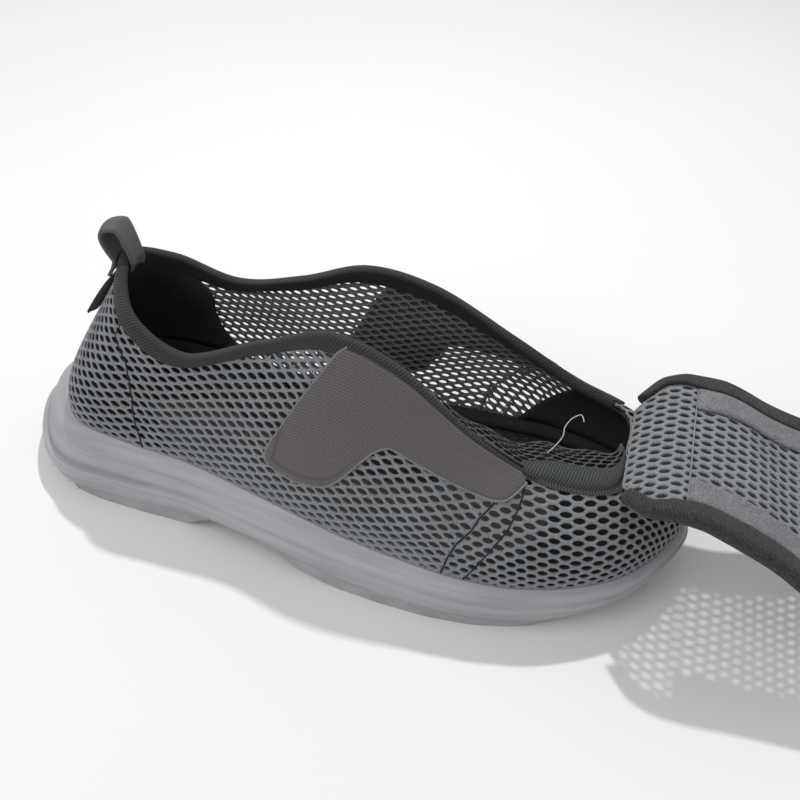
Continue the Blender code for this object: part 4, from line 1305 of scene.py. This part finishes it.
@dataclass
class NetUpper:
    """The upper's wall: two side panels and the toe cap, all of one net, with linings and seams."""

    last: Last
    side_shape: tuple[int, int] = (13, 56)
    toe_shape: tuple[int, int] = (13, 64)

    def lateral(self, first: Array, second: Array, depth: Array) -> Array:
        """Return the lateral panel, from the back seam to the toe seam."""
        return self.last.wall(first * seam_line(TOE_SEAM, second), second, depth)

    def medial(self, first: Array, second: Array, depth: Array) -> Array:
        """Return the medial panel, from the toe seam to the back seam."""
        start = 2.0 - seam_line(TOE_SEAM, second)
        return self.last.wall(start + (2.0 - start) * first, second, depth)

    def toe(self, first: Array, second: Array, depth: Array) -> Array:
        """Return the toe cap, from the lateral toe seam round to the medial one."""
        start = seam_line(TOE_SEAM, second)
        return self.last.wall(start + 2.0 * (1.0 - start) * first, second, depth)

    def toe_spread(self, first: Array, second: Array) -> Array:
        """Lay the toe cap flat as it was drawn over the last: each step down goes out in plan at full length.

        Args:
            first: Shares from the lateral to the medial toe seam.
            second: Shares from the sole to the throat.

        Returns:
            Flat places as complex numbers, with the foot's length along the first axis.
        """
        start = seam_line(TOE_SEAM, second)
        rounds = (start + 2.0 * (1.0 - start) * first)[..., None]
        rise = second[..., None] + (1.0 - second[..., None]) * np.linspace(1.0, 0.0, 13)
        rounds = np.broadcast_to(rounds, rise.shape)
        line = self.last.bare(rounds, rise)
        ways = self.last.facing(rounds, rise)[..., :2]
        ways = unit(ways[..., 1:, :] + ways[..., :-1, :])
        step = np.diff(line, axis=-2)
        out = (step[..., :2] * ways).sum(axis=-1)
        extra = np.hypot(out, step[..., 2]) - out
        place = line[..., -1, :2] + (ways * extra[..., None]).sum(axis=-2)
        return place[..., 0] + 1j * place[..., 1]

    @staticmethod
    def near_sole(second: Array) -> Array:
        """Close the holes towards the sole, where the net is drawn under."""
        return 0.78 + 0.22 * smooth_step(0.0, 0.2, second)

    def panels(self) -> None:
        """Build the three net panels."""
        mirrored = replace(SIDE_KNIT, turn=-SIDE_KNIT.turn)
        side, toe = self.side_shape, (*self.toe_shape, self.toe_spread)
        for name, nodes, panel, shape, knit, anchor in (
                ("net_side_lateral", ("upper",), self.lateral, side, SIDE_KNIT, (0.42, 0.6)),
                ("net_side_medial", (), self.medial, side, mirrored, (0.58, 0.6)),
                ("net_toe_cap", (), self.toe, toe, TOE_KNIT, (0.5, 0.5))):
            piece, sheet = Piece(name, NET, "spacer_mesh", nodes), FlatCut(panel, *shape)
            knit.cut(piece, panel, sheet, anchor, NET_THICKNESS, self.near_sole).finished()

    def lining(self, name: str, top: float, edge: tuple[tuple, tuple], middle: float) -> None:
        """Build a thin black lining inside the wall, with its edges at rounds that change with the rise.

        Args:
            name: The piece's name.
            top: The rise where it ends.
            edge: Rises, and the round of the lateral edge at each.
            middle: Half the sum of both edges' rounds.
        """
        rise = np.linspace(0.02, top, 15)
        low = np.interp(rise, *edge)
        high = 2.0 * middle - low
        rounds = low[:, None] + (high - low)[:, None] * np.linspace(0.0, 1.0, 61)[None, :]
        outer, inner = (self.last.wall(rounds, rise[:, None], UPPER_WALL + FIT_GAP + cloth)
                        for cloth in (0.0, LINING_CLOTH))
        Piece(name, LINING, "footbed_foam").add_sheet(outer, inner).finished()

    def fold(self, first: Array, second: Array, depth: Array) -> Array:
        """Return the net folded inward over the throat's near front, from its outside to its hanging edge."""
        def bare(a: Array, b: Array) -> Array:
            """Return the fold's upper face; its crest grows where the binding ends, its hem sooner."""
            rounds = FOLD_START + (FOLD_END - FOLD_START) * a
            rim = self.last.wall(rounds, 1.0, -0.0008)
            hem = self.last.wall(rounds, 1.0 - 0.0034 / self.last.height_at(rounds), -0.0007)
            rim = hem + (rim - hem) * smooth_step(0.0, 0.2, b)[..., None]
            outward = self.last.facing(rounds, np.full(np.shape(rounds), 0.9))
            way = unit(outward * np.array([-0.35, -0.35, 0.0]) + np.array([-0.06, 0.65, 0.0]))
            crest = 0.25 + 0.75 * smooth_step(0.775, FOLD_BARE, rounds)
            grow = 0.10 + 0.90 * smooth_step(FOLD_START, FOLD_BARE, rounds)
            grow = grow * (1.0 - 0.62 * smooth_step(0.74, 1.0, a))
            wave = 0.0007 * np.sin(a * 25.0) * smooth_step(0.5, 1.0, b)
            parts = []
            for index in (1, 2):
                here, turn = between(FOLD, index, b), between(FOLD, index, np.minimum(b, FOLD_CREST))
                parts.append(turn * crest + (here - turn) * grow)
            return rim + way * parts[0][..., None] + (parts[1] + wave)[..., None] * UP

        ahead, behind = np.minimum(first + FOLD_STEP, 1.0), np.maximum(first - FOLD_STEP, 0.0)
        above, below = np.minimum(second + FOLD_STEP, 1.0), np.maximum(second - FOLD_STEP, 0.0)
        along, across = bare(ahead, second) - bare(behind, second), bare(first, above) - bare(first, below)
        return bare(first, second) - unit(np.cross(along, across)) * np.asarray(depth)[..., None]

    def lip(self) -> None:
        """Build the fold: drawn close over the crest, and open net where it hangs."""
        start = (0.777 - FOLD_START) / (FOLD_END - FOLD_START)
        first, second = np.meshgrid(np.linspace(start, 1, 150), np.linspace(0.0, 0.58, 26), indexing="ij")
        outer, inner = (self.fold(first, second, np.full(first.shape, depth)) for depth in (0.0, LIP_CLOTH))
        weave = np.stack([travel(outer), travel(outer.swapaxes(0, 1)).T], axis=-1) * PER_METRE
        Piece("rolled_lip", LIP, "spacer_mesh").add_sheet(outer, inner, weave).finished()

        def hanging(a: Array, b: Array, depth: Array) -> Array:
            """Return the fold's hanging part by its own shares."""
            return self.fold(a, 0.45 + 0.55 * b, depth)

        piece, sheet = Piece("lip_net", DIM_NET, "spacer_mesh"), FlatCut(hanging, 11, 60)
        LIP_KNIT.cut(piece, hanging, sheet, (0.7, 0.5), LIP_NET_THICKNESS).finished()

    def thread(self) -> None:
        path = closed_spline(np.array(THREAD + THREAD[-2:0:-1]))[:(len(THREAD) - 1) * SPAN_STEPS + 1]
        facing = unit(np.cross(np.gradient(path, axis=0), np.array([0.3, 1.0, 0.2])))
        piece = Piece("loose_thread", PALE_THREAD, "binding_tape")
        piece.add_loft(ribbon(path, facing, round_profile(0.5 * THREAD_ROUND, 6)))
        run = float(travel(path)[-1])
        piece.finished()
        [tuple(map(float, spot)) for spot in path[::6]]

    def seams(self) -> None:
        """Lay the puckered seam lines on the wall's outside."""
        piece, section = Piece("seam_lines", SEAM, "spacer_mesh"), round_profile(SEAM_RADIUS, 6, 0.7)
        for seam in (HEEL_SEAM, TOE_SEAM, TOE_SEAM_AHEAD):
            rise = np.linspace(0.01, seam[0][1], 90)
            lateral = seam_line(seam, rise)
            for rounds in (lateral, 2.0 - lateral):
                path = self.last.wall(rounds, rise, -0.0001 + 0.00012 * np.sin(np.arange(90) * 1.9))
                piece.add_loft(ribbon(path, self.last.facing(rounds, rise), section))
        piece.finished()

    def build(self) -> None:
        """Build the wall with its linings and seams."""
        self.panels()
        self.lining("heel_lining", 0.99, ((0.0, 0.083, 0.767, 0.967), (-0.31, -0.307, -0.198, -0.124)), 0.0)
        self.lining("toe_lining", 0.985, ((0.0, 0.2, 0.4, 1.0), (0.693, 0.721, 0.752, 0.84)), 1.0)
        self.lip()
        self.thread()
        self.seams()


@dataclass
class Trims:
    """What is sewn on the upper: the edge binding, both loop patches, the pull loop and the heel tab."""

    last: Last
    lateral_end: float = 0.795
    medial_end: float = 0.885
    patch_steps: int = 240

    def binding(self) -> None:
        """Build the folded tape over the throat's edge: a rounded section carried along the rim."""
        rounds, wall = np.linspace(-self.medial_end, self.lateral_end, 640), self.last.wall
        tall = BINDING_HEIGHT / self.last.height_at(rounds)
        bed = 1.2 * FIT_GAP
        drops = np.array([1.0, 0.97, 0.85, 0.62, 0.38, 0.16])
        swell = np.array([0.2, 0.75, 0.95, 1.0, 1.0, 0.95])
        near = tall * (1.0 - 0.62 * smooth_step(0.47, 0.51, rounds))
        rows = [wall(rounds, 1.0 - drop * near, -(bed + BINDING_CLOTH * part))
                for drop, part in zip(drops, swell)]
        outer = wall(rounds, 1.0, -(bed + BINDING_CLOTH * 0.9))
        inner = wall(rounds, 1.0, UPPER_WALL + bed + BINDING_CLOTH * 0.9)
        crest = unit(outer - rows[-1])
        middle, reach = 0.5 * (outer + inner), 0.5 * (outer - inner)
        for turn in np.radians(np.linspace(15.0, 165.0, 8)):
            rows.append(middle + reach * np.cos(turn) + crest * np.sin(turn) * (BINDING_CLOTH + 0.0006))
        rows += [wall(rounds, 1.0 - drop * tall, UPPER_WALL + bed + BINDING_CLOTH * part)
                 for drop, part in zip(drops[::-1], swell[::-1])]
        rows += [wall(rounds, 1.0 - drop * tall, UPPER_WALL + bed) for drop in (1.0, 0.5, 0.0)]
        rows += [wall(rounds, 1.0 - drop * near, -bed) for drop in (0.0, 0.5, 1.0)]
        sections = np.stack(rows, axis=1)
        # painted shadow along the tape's lower outer edge and painted shade over its inner face
        painted_light = np.concatenate([[0.9, 0.6], np.zeros(8), np.linspace(0.1, 0.85, 4),
                                 np.full(len(rows) - 17, 0.85), np.zeros(3)])
        piece = Piece("edge_binding", TAPE, "binding_tape", ("binding",))
        piece.add_loft(sections, woven(travel(outer), travel(sections[300])),
                       np.broadcast_to(painted_light, sections.shape[:2])).finished()

    def patch(self, name: str, node: str, side: int, edges: tuple) -> None:
        """Build a loop patch on the wall's outside, with a narrow pale edge.

        Args:
            name: The piece's name.
            node: The CAD node that it stands for.
            side: -1 lateral, 1 medial.
            edges: The patch's table.
        """
        places = np.linspace(edges[0][0], edges[-1][0], self.patch_steps)
        rounds = places if side < 0 else 2.0 - places
        height = self.last.height_at(rounds)
        bound = 1.0 - (0.4 * BINDING_HEIGHT - 0.0008) / height
        upper = np.minimum(between(edges, 2, places), bound)
        lower = np.minimum(between(edges, 1, places), upper - 0.02)
        steps = np.linspace(0.0, 1.0, 70)
        rise = lower[:, None] + (upper - lower)[:, None] * steps[None, :]
        around = np.broadcast_to(rounds[:, None], rise.shape)
        climb = steps * ((upper - lower) * height)[:, None]
        behind = (places - places[0])[:, None] * ROUND_RUN
        ahead = (places[-1] - places)[:, None] * ROUND_RUN
        from_edge = np.minimum(np.minimum(climb, climb[:, ::-1]), np.minimum(behind, ahead))
        thick = PATCH_CLOTH * (0.55 + 0.45 * smooth_step(0.0, 0.0014, from_edge))
        outer = self.last.wall(around, rise, -(FIT_GAP + thick))
        inner = self.last.wall(around, rise, -FIT_GAP)
        hem = np.exp(-((np.minimum(climb, behind) - PATCH_HEM) / PATCH_HEM_HALF) ** 2)
        worn = 1.0 - smooth_step(0.50, 0.56, places)[:, None]
        weave = woven(places * ROUND_RUN, (1.0 - rise) * height[:, None])
        Piece(name, LOOPS, "loop_patch", (node,)).add_sheet(outer, inner, weave, 0.7 * worn * hem).finished()
        rim_round = np.concatenate([rounds[::-1], rounds[1:]])
        rim_rise = np.concatenate([upper[::-1], lower[1:]])
        start = int(np.argmax(rim_rise[:self.patch_steps] < bound[::-1] - 1e-4))
        path = self.last.wall(rim_round, rim_rise, -(FIT_GAP + PATCH_CLOTH * 0.55))[start:]
        facing = self.last.facing(rim_round, rim_rise)[start:]
        # the pale edge stands for the overlock stitching and carries a painted highlight along the rolled
        # edge
        edge = Piece(name + "_edge", EDGING, "loop_patch")
        edge.add_loft(ribbon(path, facing, round_profile(0.00055, 8, 0.9))).finished()

    def pull_loop(self) -> None:
        """Build the webbing loop: up the outside, over a leaning arch, and down the inside."""
        pitch = 2.0 * LOOP_WIDTH / AROUND / np.linalg.norm(self.last.lines[1, 3] - self.last.lines[0, 3])
        across = np.linspace(-0.5, 0.5, 17) * pitch
        low, inner_low = (1.0 - tuck / self.last.height_at(across) for tuck in (LOOP_TUCK, LOOP_INNER_TUCK))
        turn = np.radians(np.linspace(0.0, 180.0, 33))[1:-1, None, None]
        lean = np.array([-np.sin(LOOP_LEAN), 0.0, np.cos(LOOP_LEAN)])

        def skin(thickness: float) -> Array:
            """Return the loop's outer or inner face at a thickness."""
            seat, back = -(BINDING_CLOTH + 3 * FIT_GAP), UPPER_WALL + BINDING_CLOTH + 3 * FIT_GAP
            climb = np.linspace(0.0, 1.0, 10)[:, None]
            outer = self.last.wall(across[None, :], low + (1.0 - low) * climb, seat - thickness)
            inner = self.last.wall(across[None, :], inner_low + (1.0 - inner_low) * climb, back + thickness)
            middle, reach = 0.5 * (outer[-1] + inner[-1]), 0.5 * (outer[-1] - inner[-1])
            arch = middle + reach * np.cos(turn) + lean * np.sin(turn) * (LOOP_HEIGHT + thickness)
            arch[:, :, 0] -= 2 * LOOP_BULGE * (np.maximum(np.cos(turn), 0.0) * np.sin(turn))[:, :, 0]
            return np.concatenate([outer, arch, inner[::-1]])

        top = skin(LOOP_CLOTH)
        piece = Piece("webbing_loop", WEBBING, "loop_webbing", ("pull_loop",))
        piece.add_sheet(top, skin(0.0), woven(travel(top[:, 8]), np.linspace(0, LOOP_WIDTH, 17))).finished()

    def heel_tab(self) -> None:
        """Build the small tab on the back seam, standing off at its lower end."""
        back = self.last.wall(np.zeros(200), np.linspace(1.0, 0.0, 200))
        share, start = np.linspace(0.0, 1.0, 24), LOOP_TUCK + TAB_DROP
        place = start + share * TAB_LENGTH
        line = np.column_stack([np.interp(place, travel(back), values) for values in back.T])
        ahead = np.gradient(line, axis=0)
        normal = unit(np.cross(np.array([0.0, -1.0, 0.0]), ahead))
        normal = np.where(normal[:, :1] > 0, -normal, normal)
        stand = TAB_SEAT + TAB_STAND * np.sqrt(share)
        seat = TAB_FOOT + (stand - TAB_FOOT) * smooth_step(0.72, 1.0, share)
        profile = np.array([(-0.5, 0.0), (-0.5, 0.6), (-0.44, 1.0), (0.0, 1.0), (0.44, 1.0), (0.5, 0.6),
                            (0.5, 0.0), (0.0, 0.0)])
        lift = seat[:, None] + (stand + TAB_CLOTH - seat)[:, None] * profile[None, :, 1]
        sections = line[:, None] + normal[:, None] * lift[:, :, None]
        sections = sections + np.array([0.0, 1.0, 0.0]) * profile[None, :, :1] * TAB_WIDTH
        Piece("back_tab", BLACK_CLOTH, "tab_cloth", ("heel_tab",)).add_loft(sections).finished()

    def build(self) -> None:
        """Build all trims."""
        self.binding()
        self.patch("loop_patch_lateral", "lateral_patch", -1, LATERAL_PATCH)
        self.patch("loop_patch_medial", "medial_patch", 1, MEDIAL_PATCH)
        self.pull_loop()
        self.heel_tab()


@dataclass
class Flap:
    """The throat flap folded forward: net panels, hook strips, folded tape and the seam across."""

    cross_seam: float = 0.188
    hook_end: float = 0.82

    def net(self, first: Array, second: Array, depth: Array) -> Array:
        """Return the whole flap's net, from root to end and from the lateral to the medial tape."""
        forward = 0.01 + first * 0.955
        half = flap_half(forward) - 0.4 * FLAP_TAPE
        return flap_point(forward, half * (2.0 * second - 1.0), FLAP_CLOTH / 2 - depth)

    def panels(self) -> None:
        """Build the net."""
        piece = Piece("flap_net", NET, "spacer_mesh", ("flap",))
        FLAP_KNIT.cut(piece, self.net, FlatCut(self.net, 19, 32), (0.5, 0.5), FLAP_CLOTH).finished()

    def tape(self) -> None:
        """Build the folded tape round the sides and the rounded end."""
        forward = np.concatenate([np.linspace(0.03, 0.8, 120), np.linspace(0.81, 1.0, 60)])
        half = flap_half(forward)
        edge = np.column_stack([forward * FLAP_LENGTH, half])
        edge = np.vstack([edge * (1, -1), edge[::-1]])
        ahead = np.gradient(edge, axis=0)
        normal = unit(np.column_stack([ahead[:, 1], -ahead[:, 0]]))
        bed = FLAP_CLOTH / 2 + FIT_GAP
        face = FLAP_CLOTH / 2 + 2 * FIT_GAP + FLAP_TAPE_CLOTH
        turn = np.radians(np.linspace(90.0, -90.0, 13))
        wide = FLAP_TAPE
        profile = [(-wide, bed), (-wide, face * 0.92), (-wide * 0.9, face), (-wide / 2, face * 1.04)]
        profile += [(FIT_GAP + (FLAP_TAPE_CLOTH + 0.0012) * np.cos(a), face * np.sin(a)) for a in turn]
        profile += [(-wide / 2, -face), (-wide * 0.9, -face), (-wide, -face * 0.92), (-wide, -bed)]
        profile += [(0.0, -bed), (0.0, bed)]
        rows = []
        width = 0.30 + 0.70 * smooth_step(0.02, 0.26, edge[:, :1] / FLAP_LENGTH)
        for out, lift in profile:
            place = edge + normal * (out * width if out < 0 else out)
            rows.append(flap_point(place[:, 0] / FLAP_LENGTH, place[:, 1], lift))
        sections = np.stack(rows, axis=1)
        piece = Piece("flap_edge_tape", FLAP_EDGE, "binding_tape", ("flap_tape",))
        piece.add_loft(sections, woven(travel(edge), travel(sections[100]))).finished()

    def hooks(self) -> None:
        """Build both hook strips."""
        forward, steps = np.linspace(self.cross_seam, self.hook_end, 90), np.linspace(0.0, 1.0, 13)
        inner = flap_half(forward) - FLAP_TAPE - HOOK_WIDTH - 0.0006
        aside = inner[:, None] + (HOOK_WIDTH + 0.0008) * steps[None, :]
        edge = smooth_step(0.0, 0.12, np.minimum(steps, 1 - steps))[None, :]
        lift = FLAP_CLOTH / 2 + FIT_GAP
        for side, name in ((-1, "lateral_hook_strip"), (1, "medial_hook_strip")):
            top, bottom = (flap_point(forward[:, None], side * aside, lift + extra)
                           for extra in (HOOK_CLOTH * (0.5 + 0.5 * edge), 0.0))
            Piece(name + "_bristle", HOOKS, "hook_tape", (name,)).add_sheet(top, bottom).finished()

    def seam(self) -> None:
        """Build the stitched line across the flap."""
        across = np.linspace(-1.0, 1.0, 160) * (flap_half(np.array(self.cross_seam)) - FLAP_TAPE)
        forward = np.full(160, self.cross_seam)
        path = flap_point(forward, across, FLAP_CLOTH / 2 + 0.0002)
        facing = unit(flap_point(forward, across, 0.01) - path)
        section = round_profile(SEAM_RADIUS, 6, 0.6)
        Piece("flap_seam", NET, "spacer_mesh").add_loft(ribbon(path, facing, section)).finished()

    def build(self) -> None:
        """Build the flap."""
        self.panels()
        self.tape()
        self.hooks()
        self.seam()


@dataclass
class Studio:
    """The plain floor, the soft lights and the camera at the photograph's angle."""

    camera_place: tuple[float, float, float] = (0.17303, -0.31014, 0.32624)
    azimuth: float = 14.99
    elevation: float = 41.72
    roll: float = 3.46
    focal: float = 1037.0
    middle: tuple[float, float] = (358.21, 420.68)
    size: int = 800
    sensor: float = 36.0
    lit_place: tuple[float, float, float] = (0.1, 0.0, 0.03)

    def camera(self) -> None:
        """Place the camera: back along its view, right level and then rolled."""
        a, e, r = (np.radians(x) for x in (self.azimuth, self.elevation, self.roll))
        back = np.array([np.sin(a) * np.cos(e), -np.cos(a) * np.cos(e), np.sin(e)])
        level = unit(np.cross(-back, UP))
        up = np.cross(level, -back)
        right = level * np.cos(r) + up * np.sin(r)
        top = -level * np.sin(r) + up * np.cos(r)
        data = bpy.data.cameras.new("camera")
        data.sensor_width = self.sensor
        data.lens = self.sensor * self.focal / self.size
        data.shift_x = (self.size / 2 - self.middle[0]) / self.size
        data.shift_y = (self.middle[1] - self.size / 2) / self.size
        data.clip_start = 0.01
        made = linked("camera", data)
        self._aimed(made, right, top, back, self.camera_place)
        bpy.context.scene.camera = made

    @staticmethod
    def _aimed(made: bpy.types.Object, right: Array, up: Array, back: Array, place: tuple) -> None:
        """Set an object's three axes and its place."""
        frame = np.eye(4)
        frame[:3] = np.column_stack([right, up, back, place])
        made.matrix_world = frame.T.tolist()

    def light(self, name: str, place: tuple, size: float, power: float) -> None:
        """Add a square soft light that faces the shoe."""
        data = bpy.data.lights.new(name, "AREA")
        data.size, data.energy = size, power
        back = unit(np.array(place) - self.lit_place)
        aside = unit(np.cross(np.array([0.0, 1.0, 0.1]), back))
        self._aimed(linked(name, data), aside, np.cross(back, aside), back, place)

    def floor(self) -> None:
        """Lay the floor."""
        mesh = bpy.data.meshes.new("floor")
        mesh.from_pydata([(-3, -3, 0), (3, -3, 0), (3, 3, 0), (-3, 3, 0)], [], [(0, 1, 2, 3)])
        mesh.materials.append(FLOOR.material())
        linked("floor", mesh)

    def build(self) -> None:
        """Build the set."""
        self.floor()
        self.light("key", (0.04, 0.40, 1.0), 0.035, 5.8)
        self.light("fill", (-0.4, -0.7, 0.9), 1.0, 4.8)
        world = bpy.data.worlds.new("studio")
        world.use_nodes = True
        colour, strength = world.node_tree.nodes["Background"].inputs[:2]
        colour.default_value, strength.default_value = (1.0, 1.0, 1.0, 1.0), 0.55
        bpy.context.scene.world = world
        bpy.context.scene.view_settings.view_transform = "Standard"
        self.camera()


def main() -> None:
    """Build the studio and the shoe's pieces in order."""
    logging.basicConfig(level=logging.INFO, format="%(name)s %(message)s")
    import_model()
    Studio().build()
    last = Last()
    SoleUnit(last).build()
    NetUpper(last).build()
    Trims(last).build()
    Flap().build()


if __name__ == "__main__":
    main()
